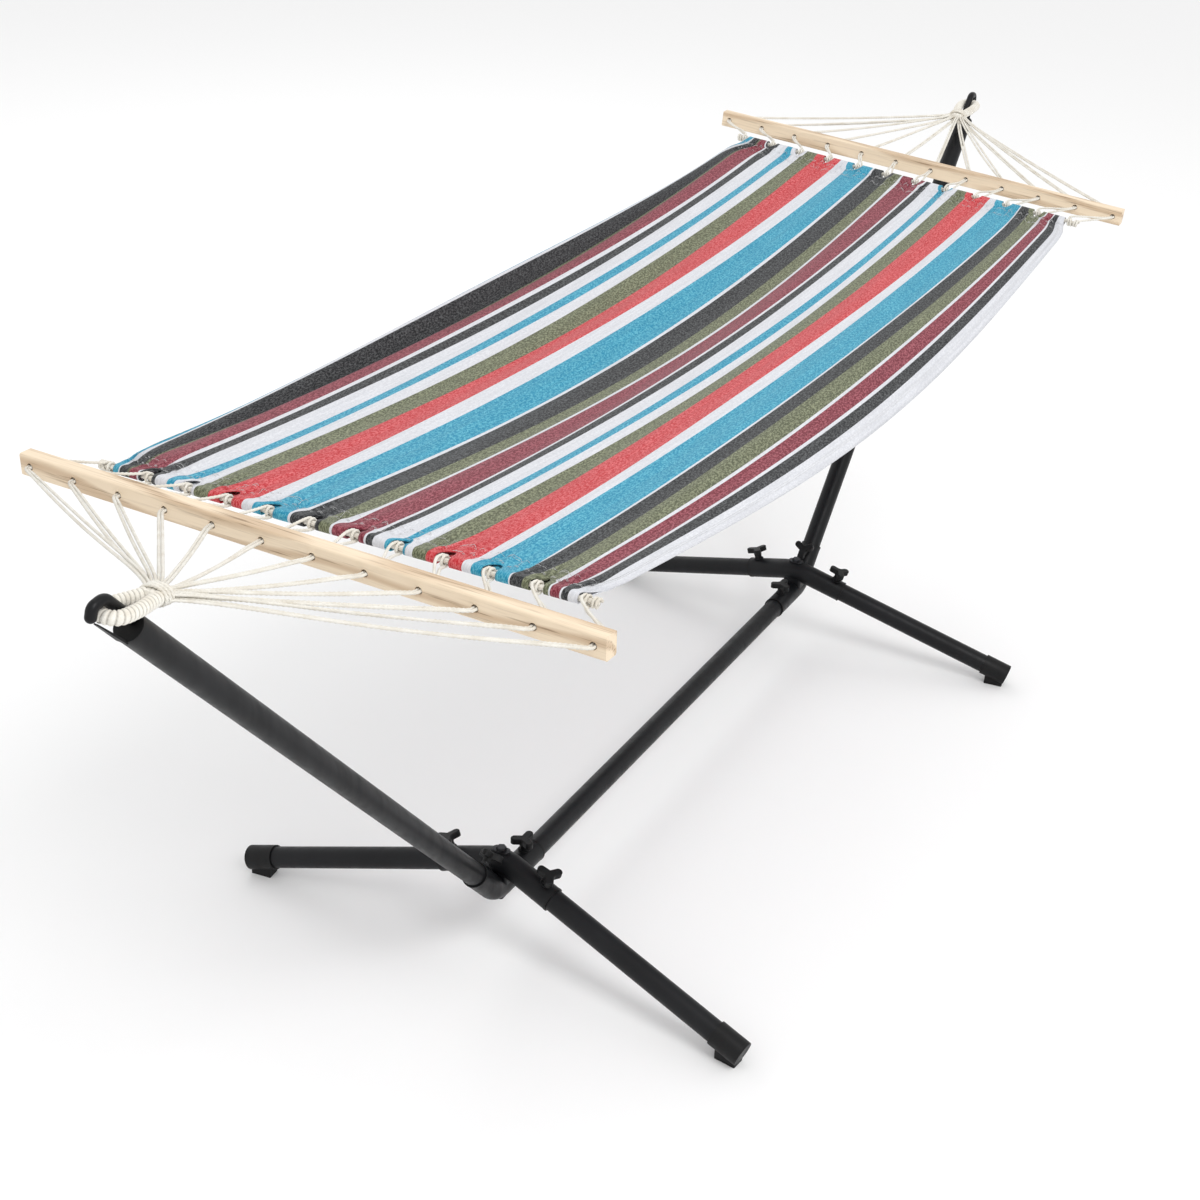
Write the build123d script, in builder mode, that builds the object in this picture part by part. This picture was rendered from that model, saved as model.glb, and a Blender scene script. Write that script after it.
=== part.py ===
from build123d import *
import os
from math import atan2, asin, cos, degrees, dist, pi, radians, sin, sqrt, tan

# Hammock on a take-apart steel stand.
#
# Frame: millimetres, +Z up. The origin lies on the floor under the middle of the centre beam.
# +X runs along the beam from the near hook to the far hook, +Y to the left when looking along +X.
# The stand is the same at both ends, so every stand piece is made for the far end (+X) or the
# near end (-X) by one sign.

ENDS = {"near": -1, "far": 1}
FLANKS = {"left": 1, "right": -1}

# --- steel stand -------------------------------------------------------------------------------
TUBE_OD = 33.0              # beam, arms and legs
TUBE_WALL = 1.5
SLEEVE_OD = 37.0            # bent connectors that the tubes plug into
SLEEVE_BORE = 33.5

HUB_X = 532.0               # where a leg connector crosses over its arm connector
BEAM_Z = 106.5              # height of the centre beam's axis
KNEE_RADIUS = 39.0          # bend of the arm connector, centred on the leg connector's crown
CROWN_Z = BEAM_Z + KNEE_RADIUS
BEAM_SLEEVE = 90.0          # straight socket of the arm connector on the beam side
ARM_SLEEVE = 62.0           # and on the arm side
BEAM_HALF = 520.0
ARM_SEAT = 6.0              # the arm tube stops this far past the knee

MOUTH_X = 1217.0            # open upper end of the arm tube
MOUTH_Z = 860.5

LEG_BEND = 70.0             # bend of the leg connector
LEG_TOP = Vector(530.6, 0, 149.0)       # where the two leg axes meet
FOOT = Vector(585.0, 417.0, 20.6)       # centre of a foot cap's end face, far left leg
LEG_SLEEVE = 95.0           # socket end, measured along the leg axis from LEG_TOP
LEG_SEAT = 26.0             # inner end of the leg tube, measured the same way
COLLAR_LENGTH = 3.0
COLLAR_OD = 37.8

CAP_OD = 37.6
CAP_LENGTH = 47.0
CAP_END = 3.0
CAP_BORE = TUBE_OD + 0.2
SOLE_WIDTH = 22.0
SOLE_LENGTH = 33.0
SOLE_SETBACK = 5.5          # from the cap's end face to the sole block
SOLE_HEIGHT = 30.0

# --- clamp knobs -------------------------------------------------------------------------------
KNOB_RADIUS = 20.0
LOBE_WIDTH = 12.0
KNOB_THICKNESS = 9.0
STEM_DIAMETER = 15.0
STEM_LENGTH = 7.0
STUD_DIAMETER = 6.0
STUD_IN_KNOB = 8.0
NUT_WIDTH = 13.0
NUT_HEIGHT = 5.0
KNOB_GAP = 0.6              # between the knob's stem and its weld nut
TIP_GAP = 0.3               # between the stud's tip and the clamped tube
BEAM_KNOB_X = 468.0
ARM_KNOB_ALONG = 44.0       # past the knee
LEG_KNOB_ALONG = 79.0       # from LEG_TOP

# --- hub bolt ----------------------------------------------------------------------------------
BOLT_DIAMETER = 8.0
BOLT_HEAD = 13.0
BOLT_HEAD_HEIGHT = 5.0
WASHER = (28.0, 15.0, 2.0)
SADDLE = (30.0, 34.0, 22.0)

# --- rope hook at the arm's mouth --------------------------------------------------------------
HOOK_BAR = 12.0
HOOK_OFFSET = 8.0           # shank axis, towards the hammock from the tube's axis
HOOK_RISE = 53.0            # corner of the hook above the mouth
HOOK_BEND = 12.0
NOSE = [(62.0, 6.0), (57.0, 14.0)]      # along and across the arm: knuckle and tip of the nose
NOSE_BEND = 7.0
PLUG_DEPTH = 24.0
PLUG_FLANGE = 3.0
SPUR_RISE = 46.0
SPUR_OFFSET = 16.5
SPUR_THICKNESS = 3.0
SPUR_BASE = 14.0
SPUR_TIP = 5.0

# --- rope eye ----------------------------------------------------------------------------------
EYE_DIAMETER = 15.0         # whipped bundle of the suspension cords
EYE_SEAT = 26.0             # where it bears on the hook's shank, above the mouth
EYE_DIP = 8.1               # degrees, the eye's slope down towards the hammock
EYE_REACH = 22.4            # centre of the loop's outer end, beyond the shank
EYE_HALF_WIDTH = 15.2
THROAT = 45.0               # start of the throat whipping, from the shank
THROAT_HALF_WIDTH = 7.9
WHIPPING_LENGTH = 17.0
WHIPPING_SIZE = (32.0, 17.0)
WHIPPING_END = 21.0

# --- spreader bars and cords -------------------------------------------------------------------
BAR_LENGTH = 800.0
BAR_HEIGHT = 28.0
BAR_THICKNESS = 20.0
BAR_CORNER = 3.0
CORD_COUNT = 12
CORD_PITCH = 70.0
CORD_HOLE = 9.0
CORD_PAIR = 6.4             # a doubled cord, as one round bundle
CORD_LEAD = 7.0             # the cord runs straight this far out of each hole mouth
CORD_BEND = 9.0
BAR_CENTRE = {"near": Vector(-947, 18, 827), "far": Vector(939, -2, 831)}
BAR_ROLL = {"near": -1.15, "far": 4.3}      # degrees about X
BAR_YAW = {"near": -2.3, "far": 0.3}        # degrees about Z

# --- cloth -------------------------------------------------------------------------------------
HEM_CENTRE = {"near": Vector(-873, 19, 815), "far": Vector(873, -2, 820)}
HEM_ROLL = {"near": -1.15, "far": 4.3}
CLOTH_WIDTH = 660.0
CLOTH_THICKNESS = 3.0
CLOTH_SAG = 48.0
CLOTH_SECTIONS = 7
HEM_OD = 13.0
HEM_ROPE = 7.0
HEM_BORE = 7.6
HEM_ROPE_LENGTH = 676.0
GAP_WIDTH = 18.0            # notches between the hem's tabs
GAP_DEPTH = 20.0

# --- derived lines of the stand ----------------------------------------------------------------
crown_to_mouth = (MOUTH_X - HUB_X, MOUTH_Z - CROWN_Z)
ARM_ANGLE = atan2(crown_to_mouth[1], crown_to_mouth[0]) + asin(KNEE_RADIUS / dist((0, 0), crown_to_mouth))
KNEE_TANGENT = KNEE_RADIUS * tan(ARM_ANGLE / 2)
ARM_LENGTH = sqrt(dist((0, 0), crown_to_mouth) ** 2 - KNEE_RADIUS ** 2)


def mirrored(point, end, flank=1):
    """Place a point of the far left quarter at another end and flank."""
    return Vector(ENDS[end] * point.X, flank * point.Y, point.Z)


def arm_point(along, across, end, sideways=0.0):
    """A point by its distance past the mouth, across the arm (outboard and down) and along Y."""
    x = MOUTH_X + along * cos(ARM_ANGLE) + across * sin(ARM_ANGLE)
    z = MOUTH_Z + along * sin(ARM_ANGLE) - across * cos(ARM_ANGLE)
    return Vector(ENDS[end] * x, sideways, z)


def arm_direction(end):
    return Vector(ENDS[end] * cos(ARM_ANGLE), 0, sin(ARM_ANGLE))


def arm_plane(along, across, end):
    """A plane square to the arm whose local X points across it, outboard and down."""
    outboard = Vector(ENDS[end] * sin(ARM_ANGLE), 0, -cos(ARM_ANGLE))
    return Plane(origin=arm_point(along, across, end), x_dir=outboard, z_dir=arm_direction(end))


def leg_line(end, flank):
    """Start and direction of a leg's axis."""
    top = mirrored(LEG_TOP, end)
    foot = mirrored(FOOT, end, FLANKS[flank])
    return top, (foot - top).normalized()


def leg_point(along, end, flank):
    top, direction = leg_line(end, flank)
    return top + direction * along


LEG_LENGTH = (FOOT - LEG_TOP).length


def finish(piece, name):
    """Label one piece and write it."""
    piece.part.label = name
    export_step(piece.part, f"parts/{name}.step")


def straight_bar(start, stop, outer, bore=0.0):
    """A round bar or tube between two points."""
    direction = stop - start
    with BuildPart() as bar:
        with BuildSketch(Plane(origin=start, z_dir=direction)):
            Circle(outer / 2)
            if bore:
                Circle(bore / 2, mode=Mode.SUBTRACT)
        extrude(amount=direction.length)
    return bar


def bent_bar(points, radii, outer, bore=0.0):
    """A round bar or tube along straight runs joined by tangent arcs."""
    with BuildPart() as bar:
        with BuildLine() as route:
            FilletPolyline(*points, radius=radii)
        with BuildSketch(Plane(origin=route.line @ 0, z_dir=route.line % 0)):
            Circle(outer / 2)
            if bore:
                Circle(bore / 2, mode=Mode.SUBTRACT)
        sweep(path=route.line)
    return bar


# --- connectors --------------------------------------------------------------------------------
def arm_connector_points(end):
    corner = HUB_X + KNEE_TANGENT
    sleeve = KNEE_TANGENT + ARM_SLEEVE
    return [
        Vector(ENDS[end] * (HUB_X - BEAM_SLEEVE), 0, BEAM_Z),
        Vector(ENDS[end] * corner, 0, BEAM_Z),
        Vector(ENDS[end] * (corner + sleeve * cos(ARM_ANGLE)), 0, BEAM_Z + sleeve * sin(ARM_ANGLE)),
    ]


def leg_connector_points(end):
    return [
        leg_point(LEG_SLEEVE, end, "left"),
        mirrored(LEG_TOP, end),
        leg_point(LEG_SLEEVE, end, "right"),
    ]


def clamp_seats(end):
    """Base point on the sleeve's axis and outward direction of each clamp knob at one end."""
    knee = Vector(ENDS[end] * (HUB_X + KNEE_RADIUS * sin(ARM_ANGLE)), 0, CROWN_Z - KNEE_RADIUS * cos(ARM_ANGLE))
    inboard = Vector(-ENDS[end] * sin(ARM_ANGLE), 0, cos(ARM_ANGLE))
    seats = {
        "beam": (Vector(ENDS[end] * BEAM_KNOB_X, 0, BEAM_Z), Vector(0, 0, 1)),
        "arm": (knee + arm_direction(end) * ARM_KNOB_ALONG, inboard),
    }
    for flank in FLANKS:
        along = leg_line(end, flank)[1]
        upward = (Vector(0, 0, 1) - along * along.Z).normalized()
        seats[f"{flank}_leg"] = (leg_point(LEG_KNOB_ALONG, end, flank), upward)
    return seats


def clamp_way(seat):
    """The stud's way through a sleeve wall."""
    base, outward = seat
    return straight_bar(base, base + outward * SLEEVE_OD, STUD_DIAMETER + 1)


def bolt_way(end):
    """The hub bolt's way through the crossing."""
    floor_point = Vector(ENDS[end] * HUB_X, 0, 0)
    return straight_bar(floor_point, floor_point + Vector(0, 0, 2 * CROWN_Z), BOLT_DIAMETER + 0.6)


def drilled(body, ways):
    """A body with the given ways cut out of it."""
    with BuildPart() as piece:
        add(body.part)
        for way in ways:
            add(way.part, mode=Mode.SUBTRACT)
    return piece


def arm_connector(end):
    seats = clamp_seats(end)
    bend = bent_bar(arm_connector_points(end), KNEE_RADIUS, SLEEVE_OD, SLEEVE_BORE)
    return drilled(bend, [clamp_way(seats["beam"]), clamp_way(seats["arm"]), bolt_way(end)])


def leg_connector(end):
    seats = clamp_seats(end)
    bend = bent_bar(leg_connector_points(end), LEG_BEND, SLEEVE_OD, SLEEVE_BORE)
    return drilled(bend, [clamp_way(seats["left_leg"]), clamp_way(seats["right_leg"]), bolt_way(end)])


def sleeve_collars(end):
    """Plastic rings on the four socket mouths of one hub."""
    sockets = [(leg_point(LEG_SLEEVE, end, flank), leg_line(end, flank)[1]) for flank in FLANKS]
    arm_route = arm_connector_points(end)
    sockets.append((arm_route[0], Vector(-ENDS[end], 0, 0)))
    sockets.append((arm_route[2], arm_direction(end)))
    with BuildPart() as collars:
        for mouth, outward in sockets:
            with BuildSketch(Plane(origin=mouth, z_dir=outward)):
                Circle(COLLAR_OD / 2)
                Circle(SLEEVE_BORE / 2, mode=Mode.SUBTRACT)
            extrude(amount=COLLAR_LENGTH)
    return collars


def saddle(end):
    """The spacer that fills the crossing between the two connectors."""
    arm_side = bent_bar(arm_connector_points(end), KNEE_RADIUS, SLEEVE_OD)
    leg_side = bent_bar(leg_connector_points(end), LEG_BEND, SLEEVE_OD)
    length, width, height = SADDLE
    middle = (BEAM_Z + CROWN_Z) / 2
    with BuildPart() as block:
        with BuildSketch(Plane(origin=(ENDS[end] * HUB_X, 0, middle - height / 2))):
            RectangleRounded(length, width, 4)
        extrude(amount=height)
    return drilled(block, [arm_side, leg_side, bolt_way(end)])


def hub_bolt(end):
    """Hexagon bolt that holds both connectors, with its oval washer."""
    crown_top = CROWN_Z + SLEEVE_OD / 2
    under = BEAM_Z - SLEEVE_OD / 2
    washer_length, washer_width, washer_height = WASHER
    with BuildPart() as bolt:
        with BuildSketch(Plane(origin=(ENDS[end] * HUB_X, 0, under - NUT_HEIGHT - 4))):
            Circle(BOLT_DIAMETER / 2)
        extrude(amount=crown_top - under + NUT_HEIGHT + 4)
        with BuildSketch(Plane(origin=(ENDS[end] * HUB_X, 0, crown_top))):
            SlotOverall(washer_length, washer_width, rotation=90)
        extrude(amount=washer_height)
        with BuildSketch(Plane(origin=(ENDS[end] * HUB_X, 0, crown_top + washer_height))):
            RegularPolygon(BOLT_HEAD / 2, 6, major_radius=False)
        extrude(amount=BOLT_HEAD_HEIGHT)
        chamfer(bolt.faces().sort_by(Axis.Z)[-1].edges(), 0.8)
    return bolt


def hub_nut(end):
    under = BEAM_Z - SLEEVE_OD / 2
    with BuildPart() as nut:
        with BuildSketch(Plane(origin=(ENDS[end] * HUB_X, 0, under))):
            RegularPolygon(BOLT_HEAD / 2, 6, major_radius=False)
            Circle(BOLT_DIAMETER / 2 + 0.02, mode=Mode.SUBTRACT)
        extrude(amount=-NUT_HEIGHT)
    return nut


# --- clamp knobs and their nuts ----------------------------------------------------------------
def clamp_nuts(end):
    """Four hexagon nuts welded on the sleeves of one hub."""
    with BuildPart() as nuts:
        for base, outward in clamp_seats(end).values():
            with BuildSketch(Plane(origin=base + outward * (SLEEVE_OD / 2), z_dir=outward)):
                RegularPolygon(NUT_WIDTH / 2, 6, major_radius=False)
                Circle(STUD_DIAMETER / 2 + 0.05, mode=Mode.SUBTRACT)
            extrude(amount=NUT_HEIGHT)
    return nuts


def knob_height():
    """Height of the knob's stem above the sleeve's axis."""
    return SLEEVE_OD / 2 + NUT_HEIGHT + KNOB_GAP


def clamp_knob(seat):
    """Three-lobed hand knob on a round stem."""
    base, outward = seat
    foot = Plane(origin=base + outward * knob_height(), z_dir=outward)
    with BuildPart() as knob:
        with BuildSketch(foot.offset(STEM_LENGTH)) as star:
            with PolarLocations((KNOB_RADIUS - LOBE_WIDTH / 2) / 2, 3):
                SlotOverall(KNOB_RADIUS + LOBE_WIDTH / 2, LOBE_WIDTH)
            fillet(star.vertices().sort_by_distance(foot.offset(STEM_LENGTH).origin)[:3], 8)
        extrude(amount=KNOB_THICKNESS)
        crown = knob.faces().filter_by(Plane(origin=foot.origin, z_dir=outward))
        fillet(crown.sort_by(Axis(foot.origin, outward))[-1].edges(), 1.8)
        with BuildSketch(foot):
            Circle(STEM_DIAMETER / 2 - 1)
        with BuildSketch(foot.offset(STEM_LENGTH)):
            Circle(STEM_DIAMETER / 2)
        loft()
        with BuildSketch(foot):
            Circle(STUD_DIAMETER / 2)
        extrude(amount=STUD_IN_KNOB, mode=Mode.SUBTRACT)
    return knob


def clamp_stud(seat):
    """Threaded stud moulded into the knob, whose tip bears on the tube."""
    base, outward = seat
    tip = TUBE_OD / 2 + TIP_GAP
    with BuildPart() as stud:
        with BuildSketch(Plane(origin=base + outward * tip, z_dir=outward)):
            Circle(STUD_DIAMETER / 2)
        extrude(amount=knob_height() + STUD_IN_KNOB - tip)
    return stud


# --- legs --------------------------------------------------------------------------------------
def leg_tube(end, flank):
    start = leg_point(LEG_SEAT, end, flank)
    stop = leg_point(LEG_LENGTH - CAP_END - 0.2, end, flank)
    return straight_bar(start, stop, TUBE_OD, TUBE_OD - 2 * TUBE_WALL)


def foot_cap(end, flank):
    """Moulded cap with a flat sole block under it."""
    direction = leg_line(end, flank)[1]
    end_face = leg_point(LEG_LENGTH, end, flank)
    level = Vector(direction.X, direction.Y, 0).normalized()
    sole_middle = end_face - level * (SOLE_SETBACK + SOLE_LENGTH / 2)
    sole_plane = Plane(origin=(sole_middle.X, sole_middle.Y, 0), x_dir=level, z_dir=(0, 0, 1))
    with BuildPart() as cap:
        with BuildSketch(Plane(origin=end_face, z_dir=-direction)):
            Circle(CAP_OD / 2)
        extrude(amount=CAP_LENGTH)
        chamfer(cap.edges().filter_by(GeomType.CIRCLE).sort_by_distance(end_face)[0], 0.8)
        with BuildSketch(sole_plane):
            RectangleRounded(SOLE_LENGTH, SOLE_WIDTH, 1.5)
        extrude(amount=SOLE_HEIGHT)
        with BuildSketch(Plane(origin=end_face - direction * CAP_END, z_dir=-direction)):
            Circle(CAP_BORE / 2)
        extrude(amount=CAP_LENGTH, mode=Mode.SUBTRACT)
    return cap


# --- hooks -------------------------------------------------------------------------------------
def rope_hook(end):
    """Cane-shaped hook of round bar that stands out of the arm's mouth."""
    route = [
        arm_point(-PLUG_DEPTH, -HOOK_OFFSET, end),
        arm_point(HOOK_RISE, -HOOK_OFFSET, end),
        *[arm_point(along, across, end) for along, across in NOSE],
    ]
    with BuildPart() as hook:
        add(bent_bar(route, [HOOK_BEND, NOSE_BEND], HOOK_BAR).part)
        with Locations(route[-1]):
            Sphere(HOOK_BAR / 2)
    return hook


def hook_plug(end):
    """Plug in the arm's mouth that carries the hook, with its pointed spur."""
    plug_od = TUBE_OD - 2 * TUBE_WALL
    with BuildPart() as plug:
        with BuildSketch(arm_plane(-PLUG_DEPTH, 0, end)):
            Circle(plug_od / 2 - 0.05)
        extrude(amount=PLUG_DEPTH)
        with BuildSketch(arm_plane(0, 0, end)):
            Circle(TUBE_OD / 2)
        extrude(amount=PLUG_FLANGE)
        with BuildSketch(arm_plane(0, SPUR_OFFSET - SPUR_THICKNESS / 2, end)):
            Rectangle(SPUR_THICKNESS, SPUR_BASE)
        with BuildSketch(arm_plane(SPUR_RISE, SPUR_OFFSET, end)):
            Rectangle(SPUR_THICKNESS / 2, SPUR_TIP)
        loft()
        with BuildSketch(arm_plane(-PLUG_DEPTH, -HOOK_OFFSET, end)):
            Circle(HOOK_BAR / 2 + 0.05)
        extrude(amount=PLUG_DEPTH + PLUG_FLANGE, mode=Mode.SUBTRACT)
    return plug


# --- rope eyes ---------------------------------------------------------------------------------
def eye_point(outboard, sideways, end):
    """A point of the eye's plane, from where it bears on the hook's shank."""
    seat = arm_point(EYE_SEAT, -HOOK_OFFSET, end)
    dip = radians(EYE_DIP)
    return seat + Vector(ENDS[end] * outboard * cos(dip), sideways, outboard * sin(dip))


def eye_plane(outboard, end):
    """A plane square to the eye's run whose local X is along Y."""
    inward = (eye_point(-1, 0, end) - eye_point(0, 0, end)).normalized()
    return Plane(origin=eye_point(outboard, 0, end), x_dir=(0, 1, 0), z_dir=inward)


def rope_eye(end):
    """The whipped loop that hangs on the hook."""
    route = [
        eye_point(-THROAT, THROAT_HALF_WIDTH, end),
        eye_point(-8, EYE_HALF_WIDTH, end),
        eye_point(EYE_REACH, EYE_HALF_WIDTH, end),
        eye_point(EYE_REACH, -EYE_HALF_WIDTH, end),
        eye_point(-8, -EYE_HALF_WIDTH, end),
        eye_point(-THROAT, -THROAT_HALF_WIDTH, end),
    ]
    turn = EYE_HALF_WIDTH - 0.1
    return bent_bar(route, [30, turn, turn, 30], EYE_DIAMETER)


def throat_whipping(end):
    """The wound throat where the cords leave the eye."""
    with BuildPart() as whipping:
        with BuildSketch(eye_plane(-THROAT, end)):
            RectangleRounded(*WHIPPING_SIZE, WHIPPING_SIZE[1] / 2 - 0.2)
        with BuildSketch(eye_plane(-THROAT - WHIPPING_LENGTH, end)):
            RectangleRounded(WHIPPING_END, WHIPPING_END - 3, (WHIPPING_END - 3) / 2 - 0.2)
        loft()
    return whipping


# --- spreader bars -----------------------------------------------------------------------------
def bar_axes(end):
    """Length and thickness directions of a spreader bar; thickness points outboard."""
    roll = radians(BAR_ROLL[end])
    yaw = radians(BAR_YAW[end])
    length = Vector(-sin(yaw) * cos(roll), cos(yaw) * cos(roll), sin(roll))
    outboard = length.cross(Vector(0, 0, 1)).normalized() * ENDS[end]
    return length, outboard


def spreader_bar(end):
    """Wooden bar with one hole for each doubled cord."""
    length, outboard = bar_axes(end)
    section = Plane(origin=BAR_CENTRE[end] - length * (BAR_LENGTH / 2), x_dir=outboard, z_dir=length)
    face = Plane(origin=BAR_CENTRE[end] - outboard * BAR_THICKNESS, x_dir=length, z_dir=outboard)
    with BuildPart() as bar:
        with BuildSketch(section):
            RectangleRounded(BAR_THICKNESS, BAR_HEIGHT, BAR_CORNER)
        extrude(amount=BAR_LENGTH)
        with BuildSketch(face):
            with GridLocations(CORD_PITCH, 0, CORD_COUNT, 1):
                Circle(CORD_HOLE / 2)
        extrude(amount=2 * BAR_THICKNESS, mode=Mode.SUBTRACT)
    return bar


# --- cords -------------------------------------------------------------------------------------
def hem_direction(end):
    return Vector(0, cos(radians(HEM_ROLL[end])), sin(radians(HEM_ROLL[end])))


def hem_point(number, end):
    """Where a doubled cord goes round the hem rope, counted from the right flank."""
    pitch = (CLOTH_WIDTH - 2 * GAP_WIDTH / 3) / (CORD_COUNT - 1)
    return HEM_CENTRE[end] + hem_direction(end) * (pitch * (number - (CORD_COUNT - 1) / 2))


def cord_route(number, end):
    """Route of one doubled cord: throat, through the bar, to the hem rope."""
    length, outboard = bar_axes(end)
    hole = BAR_CENTRE[end] + length * (CORD_PITCH * (number - (CORD_COUNT - 1) / 2))
    lead = outboard * (BAR_THICKNESS / 2 + CORD_LEAD)
    spread = (number - (CORD_COUNT - 1) / 2) * 1.1
    return [eye_point(-THROAT - WHIPPING_LENGTH + 2, spread, end), hole + lead, hole - lead, hem_point(number, end)]


def suspension_cords(end):
    """All twelve doubled cords of one end."""
    with BuildPart() as cords:
        for number in range(CORD_COUNT):
            add(bent_bar(cord_route(number, end), [CORD_BEND, CORD_BEND], CORD_PAIR).part)
    return cords


def hem_rope(end):
    """Rope in the cloth's end hem that the cords go round."""
    reach = hem_direction(end) * (HEM_ROPE_LENGTH / 2)
    return straight_bar(HEM_CENTRE[end] - reach, HEM_CENTRE[end] + reach, HEM_ROPE)


# --- cloth -------------------------------------------------------------------------------------
def cloth_section(share):
    """Plane of the cloth's cross-section at a share of the way from the near to the far hem."""
    centre = HEM_CENTRE["near"] * (1 - share) + HEM_CENTRE["far"] * share
    centre = centre - Vector(0, 0, CLOTH_SAG * 4 * share * (1 - share))
    span = HEM_CENTRE["far"] - HEM_CENTRE["near"]
    slope = Vector(span.X, span.Y, span.Z - CLOTH_SAG * 4 * (1 - 2 * share))
    roll = radians(HEM_ROLL["near"] * (1 - share) + HEM_ROLL["far"] * share)
    return Plane(origin=centre, x_dir=(0, cos(roll), sin(roll)), z_dir=slope)


def cloth():
    """Striped cloth as one sagging sheet with tunnelled, notched end hems."""
    with BuildPart() as sheet:
        for index in range(CLOTH_SECTIONS):
            with BuildSketch(cloth_section(index / (CLOTH_SECTIONS - 1))):
                Rectangle(CLOTH_WIDTH, CLOTH_THICKNESS)
        loft()
        for end in ENDS:
            along = hem_direction(end)
            start = HEM_CENTRE[end] - along * (CLOTH_WIDTH / 2)
            with BuildSketch(Plane(origin=start, z_dir=along)):
                Circle(HEM_OD / 2)
            extrude(amount=CLOTH_WIDTH)
            with BuildSketch(Plane(origin=start - along * GAP_WIDTH, z_dir=along)):
                Circle(HEM_BORE / 2)
            extrude(amount=CLOTH_WIDTH + 2 * GAP_WIDTH, mode=Mode.SUBTRACT)
            for number in range(CORD_COUNT):
                middle = hem_point(number, end) + Vector(0, 0, -HEM_OD)
                inboard = Vector(-ENDS[end], 0, 0)
                notch = Plane(origin=middle + inboard * (GAP_DEPTH - HEM_OD) / 2, x_dir=inboard)
                with BuildSketch(notch):
                    Rectangle(GAP_DEPTH + HEM_OD, GAP_WIDTH)
                extrude(amount=2 * HEM_OD, mode=Mode.SUBTRACT)
    return sheet


# --- build everything --------------------------------------------------------------------------
def build_end(end):
    """Every stand and rope piece of one end."""
    knee = Vector(ENDS[end] * (HUB_X + KNEE_RADIUS * sin(ARM_ANGLE)), 0, CROWN_Z - KNEE_RADIUS * cos(ARM_ANGLE))
    arm_start = knee + arm_direction(end) * ARM_SEAT
    finish(straight_bar(arm_start, arm_point(0, 0, end), TUBE_OD, TUBE_OD - 2 * TUBE_WALL), f"{end}_arm")
    finish(arm_connector(end), f"{end}_arm_connector")
    finish(leg_connector(end), f"{end}_leg_connector")
    finish(saddle(end), f"{end}_saddle")
    finish(hub_bolt(end), f"{end}_hub_bolt")
    finish(hub_nut(end), f"{end}_hub_nut")
    finish(sleeve_collars(end), f"{end}_sleeve_collars")
    finish(clamp_nuts(end), f"{end}_clamp_nuts")
    finish(rope_hook(end), f"{end}_hook")
    finish(hook_plug(end), f"{end}_hook_plug")
    for place, seat in clamp_seats(end).items():
        finish(clamp_knob(seat), f"{end}_{place}_knob")
        finish(clamp_stud(seat), f"{end}_{place}_stud")
    for flank in FLANKS:
        finish(leg_tube(end, flank), f"{end}_{flank}_leg")
        finish(foot_cap(end, flank), f"{end}_{flank}_foot")
    finish(rope_eye(end), f"{end}_eye")
    finish(throat_whipping(end), f"{end}_whipping")
    finish(spreader_bar(end), f"{end}_spreader_bar")
    finish(suspension_cords(end), f"{end}_suspension_cords")
    finish(hem_rope(end), f"{end}_hem_rope")


def report_cords():
    """Print each cord's corner radii and the length of its route."""
    for end in ENDS:
        lengths = [sum((b - a).length for a, b in zip(route, route[1:]))
                   for route in (cord_route(number, end) for number in range(CORD_COUNT))]
        section = pi * CORD_PAIR ** 2 / 4
        print(end, "cord runs", [round(length) for length in lengths], "radius", CORD_BEND)
        print(end, "cords' section times length", round(section * sum(lengths)))


os.makedirs("parts", exist_ok=True)
beam_reach = Vector(BEAM_HALF, 0, 0)
beam_axis = Vector(0, 0, BEAM_Z)
finish(straight_bar(beam_axis - beam_reach, beam_axis + beam_reach, TUBE_OD, TUBE_OD - 2 * TUBE_WALL), "centre_beam")
for stand_end in ENDS:
    build_end(stand_end)
finish(cloth(), "cloth")
report_cords()
print("arm angle", round(degrees(ARM_ANGLE), 2), "arm length", round(ARM_LENGTH - ARM_SEAT, 1))
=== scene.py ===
"""Hammock on a take-apart steel stand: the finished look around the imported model."""

import logging
import math
import random
from dataclasses import dataclass, field
from enum import Enum

import bpy
import numpy as np
from mathutils import Matrix, Vector


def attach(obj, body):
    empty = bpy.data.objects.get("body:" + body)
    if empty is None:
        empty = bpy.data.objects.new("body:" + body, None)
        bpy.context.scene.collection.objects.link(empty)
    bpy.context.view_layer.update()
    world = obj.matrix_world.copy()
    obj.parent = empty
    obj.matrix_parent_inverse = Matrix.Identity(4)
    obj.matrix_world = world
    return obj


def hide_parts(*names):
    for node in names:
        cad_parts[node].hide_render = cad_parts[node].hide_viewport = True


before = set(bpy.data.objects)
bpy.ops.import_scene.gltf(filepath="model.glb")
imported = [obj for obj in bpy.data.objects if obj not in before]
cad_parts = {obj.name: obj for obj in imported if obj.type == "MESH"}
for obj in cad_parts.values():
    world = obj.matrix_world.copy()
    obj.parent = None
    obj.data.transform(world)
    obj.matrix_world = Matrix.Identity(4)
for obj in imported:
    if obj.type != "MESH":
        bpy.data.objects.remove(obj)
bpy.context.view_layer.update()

LOG = logging.getLogger("hammock")
MM = 0.001
SEED = 7


class End(Enum):
    """The two ends of the stand, by the sign of X."""

    NEAR = -1
    FAR = 1

    @property
    def label(self) -> str:
        """The end's name in node names."""
        return self.name.lower()


class Flank(Enum):
    """The two long sides, by the sign of Y."""

    LEFT = 1
    RIGHT = -1

    @property
    def label(self) -> str:
        """The flank's name in node names."""
        return self.name.lower()


class Slot(Enum):
    """The record's material slots that the new pieces take."""

    STEEL = "powder_coated_steel"
    ROPE = "cotton_cord"
    CLOTH = "striped_cloth"


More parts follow.
